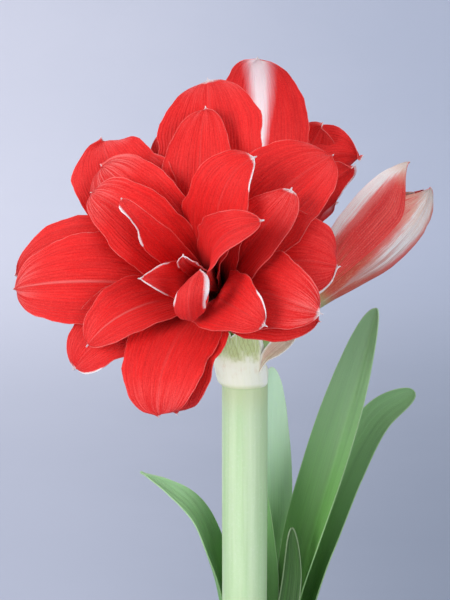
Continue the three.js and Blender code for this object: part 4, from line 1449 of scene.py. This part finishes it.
class BloomSettings(bpy.types.PropertyGroup):
    """Sizes and colours of the flowers"""

    petal_thickness: bpy.props.FloatProperty(
        name="Petal thickness", description="Thickness along a petal's midrib", default=0.0008,
        min=0.0003, unit="LENGTH",
    )
    petal_red: hue("Petal red", "Colour of the petals' inner side", (0.80, 0.013, 0.012))
    petal_outside: hue("Petal outside", "Colour of the petals' outer side", (0.74, 0.018, 0.017))
    petal_vein: hue("Veins", "Colour of the petals' veins", (0.48, 0.003, 0.006))
    # Vein light also paints the petals' sparkle highlights, the fine lighter specks
    petal_sheen: hue("Vein light", "Colour of the light streaks between veins", (0.92, 0.055, 0.045))
    # The throat colour is partly the petals' maroon base and partly painted shade deep in the throat
    throat: hue("Throat", "Colour deep in the throat", (0.16, 0.003, 0.005))
    frost: hue("Frost", "Colour of the pale ends of petals", (0.86, 0.28, 0.26))
    rim: hue("Rim", "Colour of the petals' thin rims", (0.88, 0.20, 0.18))
    white: hue("White", "Colour of the white tips and margins", (0.90, 0.80, 0.81))
    stripe: hue("Stripe", "Colour of the stripe on the petals' outer side", (0.80, 0.36, 0.38))
    bud_red: hue("Bud red", "Colour of the bud's margins", (0.82, 0.028, 0.026))
    bud_pink: hue("Bud pink", "Colour between the bud's red and white", (0.88, 0.17, 0.15))
    bud_white: hue("Bud white", "Colour of the bud's midrib bands", (0.97, 0.92, 0.88))


class GreenSettings(bpy.types.PropertyGroup):
    """Sizes and colours of the green parts and the spathe"""

    leaf_thickness: bpy.props.FloatProperty(
        name="Leaf thickness", description="Thickness along a leaf's crease", default=0.0018,
        min=0.0005, unit="LENGTH",
    )
    leaf_dark: hue("Leaf dark", "Colour of the darkest leaf", (0.018, 0.055, 0.008))
    leaf_light: hue("Leaf light", "Colour of the lightest leaf", (0.22, 0.51, 0.14))
    leaf_wax: hue("Leaf wax", "Colour of the waxy bloom", (0.56, 0.78, 0.56))
    leaf_margin: hue("Leaf margin", "Colour of the thin pale margin", (0.58, 0.70, 0.46))
    scape: hue("Scape", "Colour of the scape", (0.53, 0.68, 0.42))
    scape_streak: hue("Scape streaks", "Colour of the scape's streaks", (0.45, 0.64, 0.35))
    collar: hue("Collar", "Colour of the collar", (0.84, 0.86, 0.70))
    pedicel: hue("Flower stalk", "Colour of the flower stalks", (0.42, 0.56, 0.22))
    spathe: hue("Spathe", "Colour of the papery spathe", (0.50, 0.60, 0.24))


class PotSettings(bpy.types.PropertyGroup):
    """Colours of the bulb, the compost and the pot"""

    clay: hue("Clay", "Colour of the pot", (0.48, 0.18, 0.095))
    compost: hue("Compost", "Colour of the compost", (0.040, 0.025, 0.016))
    tunic: hue("Tunic", "Colour of the bulb's dry skin", (0.33, 0.16, 0.065))
    grains: bpy.props.IntProperty(
        name="Crumbs", description="Number of loose crumbs on the compost", default=520, min=0, max=1500,
    )


class StageSettings(bpy.types.PropertyGroup):
    """The floor, the light and the camera"""

    # The floor's colours carry painted light: lighter on the left, darker on the right and near the plant
    far_painted_light: hue("Floor left", "Colour of the floor's left side", (0.77, 0.77, 0.86))
    far_painted_shade: hue("Floor right", "Colour of the floor's right side", (0.54, 0.58, 0.70))
    near_painted_light: hue("Near left", "Colour of the floor left of the plant", (0.42, 0.44, 0.53))
    near_painted_shade: hue("Near right", "Colour of the floor right of the plant", (0.23, 0.26, 0.33))
    air: hue("Air", "Colour of the light from all round", (0.86, 0.91, 1.0))
    air_strength: bpy.props.FloatProperty(
        name="Air strength", description="Strength of the light from all round", default=0.62, min=0,
    )
    key_power: watts("Key", "Power of the key light", 43.5)
    fill_power: watts("Fill", "Power of the fill light", 40)
    rim_power: watts("Rim", "Power of the light from behind", 16)
    backdrop_power: watts("Backdrop", "Power of the light on the backdrop", 75)
    camera_aim: bpy.props.FloatVectorProperty(
        name="Camera aim", description="Point that the camera looks at", subtype="TRANSLATION", size=3,
        unit="LENGTH", default=(-0.0193, -0.010, 0.4445),
    )
    camera_distance: bpy.props.FloatProperty(
        name="Camera distance", description="Distance from the aim", default=1.2, min=0.1, unit="LENGTH",
    )
    camera_elevation: bpy.props.FloatProperty(
        name="Camera elevation", description="Angle above the horizon", default=math.radians(7),
        subtype="ANGLE", unit="ROTATION",
    )
    camera_lens: bpy.props.FloatProperty(
        name="Camera lens", description="Focal length in millimetres", default=127.44, min=1,
    )


# Operators

class AMARYLLIS_OT_front_bloom(bpy.types.Operator):
    """Grow the front bloom"""

    bl_idname = "amaryllis.front_bloom"
    bl_label = "Front bloom"

    def execute(self, context):
        bloom(FRONT, FRONT_PETALS, context.scene.amaryllis_bloom, "bloom_front", SEED)
        return {"FINISHED"}


class AMARYLLIS_OT_back_bloom(bpy.types.Operator):
    """Grow the back bloom"""

    bl_idname = "amaryllis.back_bloom"
    bl_label = "Back bloom"

    def execute(self, context):
        bloom(BACK, BACK_PETALS, context.scene.amaryllis_bloom, "bloom_back", SEED + 30)
        return {"FINISHED"}


class AMARYLLIS_OT_bud(bpy.types.Operator):
    """Grow the half-open bud"""

    bl_idname = "amaryllis.bud"
    bl_label = "Bud"

    def execute(self, context):
        bud(context.scene.amaryllis_bloom)
        return {"FINISHED"}


class AMARYLLIS_OT_flower_stalks(bpy.types.Operator):
    """Grow the stalks and ovaries of the flowers"""

    bl_idname = "amaryllis.flower_stalks"
    bl_label = "Flower stalks"

    def execute(self, context):
        material = stalk_finish(context.scene.amaryllis_green)
        for place, name in ((FRONT, "pedicel_front"), (BACK, "pedicel_back"), (BUD, "pedicel_bud")):
            flower_stalk(place, name, material)
        return {"FINISHED"}


class AMARYLLIS_OT_scape(bpy.types.Operator):
    """Grow the scape with its collar"""

    bl_idname = "amaryllis.scape"
    bl_label = "Scape"

    def execute(self, context):
        scape(context.scene.amaryllis_green)
        return {"FINISHED"}


class AMARYLLIS_OT_spathe(bpy.types.Operator):
    """Grow the two papery valves of the spathe"""

    bl_idname = "amaryllis.spathe"
    bl_label = "Spathe"

    def execute(self, context):
        material = spathe_finish(context.scene.amaryllis_green)
        spathe_front(material)
        spathe_side(material)
        return {"FINISHED"}


class AMARYLLIS_OT_leaves(bpy.types.Operator):
    """Grow the strap leaves"""

    bl_idname = "amaryllis.leaves"
    bl_label = "Leaves"

    def execute(self, context):
        settings = context.scene.amaryllis_green
        material = leaf_finish(settings)
        for number, name in enumerate(LEAVES):
            leaf(name, settings, material, SEED + 90 + number)
        return {"FINISHED"}


class AMARYLLIS_OT_bulb(bpy.types.Operator):
    """Grow the bulb with its tunics and roots"""

    bl_idname = "amaryllis.bulb"
    bl_label = "Bulb"

    def execute(self, context):
        bulb(context.scene.amaryllis_pot)
        return {"FINISHED"}


class AMARYLLIS_OT_compost(bpy.types.Operator):
    """Fill the pot with compost"""

    bl_idname = "amaryllis.compost"
    bl_label = "Compost"

    def execute(self, context):
        compost(context.scene.amaryllis_pot)
        return {"FINISHED"}


class AMARYLLIS_OT_pot(bpy.types.Operator):
    """Throw the clay pot"""

    bl_idname = "amaryllis.pot"
    bl_label = "Pot"

    def execute(self, context):
        pot(context.scene.amaryllis_pot)
        return {"FINISHED"}


class AMARYLLIS_OT_stage(bpy.types.Operator):
    """Set up the floor, the light and the camera"""

    bl_idname = "amaryllis.stage"
    bl_label = "Stage"

    def execute(self, context):
        stage(context.scene.amaryllis_stage)
        return {"FINISHED"}


OPERATORS = (
    AMARYLLIS_OT_front_bloom,
    AMARYLLIS_OT_back_bloom,
    AMARYLLIS_OT_bud,
    AMARYLLIS_OT_flower_stalks,
    AMARYLLIS_OT_scape,
    AMARYLLIS_OT_spathe,
    AMARYLLIS_OT_leaves,
    AMARYLLIS_OT_bulb,
    AMARYLLIS_OT_compost,
    AMARYLLIS_OT_pot,
    AMARYLLIS_OT_stage,
)


class AMARYLLIS_PT_panel(bpy.types.Panel):
    """The amaryllis's pieces, one button each"""

    bl_idname = "AMARYLLIS_PT_panel"
    bl_label = "Amaryllis"
    bl_space_type = "VIEW_3D"
    bl_region_type = "UI"
    bl_category = "Amaryllis"

    def draw(self, context):
        for operator in OPERATORS:
            self.layout.operator(operator.bl_idname)


GROUPS = {
    "amaryllis_bloom": BloomSettings,
    "amaryllis_green": GreenSettings,
    "amaryllis_pot": PotSettings,
    "amaryllis_stage": StageSettings,
}


def register():
    for group in GROUPS.values():
        bpy.utils.register_class(group)
    for operator in (*OPERATORS, AMARYLLIS_PT_panel):
        bpy.utils.register_class(operator)
    for name, group in GROUPS.items():
        setattr(bpy.types.Scene, name, bpy.props.PointerProperty(type=group))


def unregister():
    for name in GROUPS:
        delattr(bpy.types.Scene, name)
    for operator in (AMARYLLIS_PT_panel, *reversed(OPERATORS)):
        bpy.utils.unregister_class(operator)
    for group in reversed(GROUPS.values()):
        bpy.utils.unregister_class(group)


def main():
    register()
    bpy.ops.amaryllis.pot()
    bpy.ops.amaryllis.compost()
    bpy.ops.amaryllis.bulb()
    bpy.ops.amaryllis.scape()
    bpy.ops.amaryllis.leaves()
    bpy.ops.amaryllis.flower_stalks()
    bpy.ops.amaryllis.spathe()
    bpy.ops.amaryllis.front_bloom()
    bpy.ops.amaryllis.back_bloom()
    bpy.ops.amaryllis.bud()
    bpy.ops.amaryllis.stage()


if __name__ == "__main__":
    main()
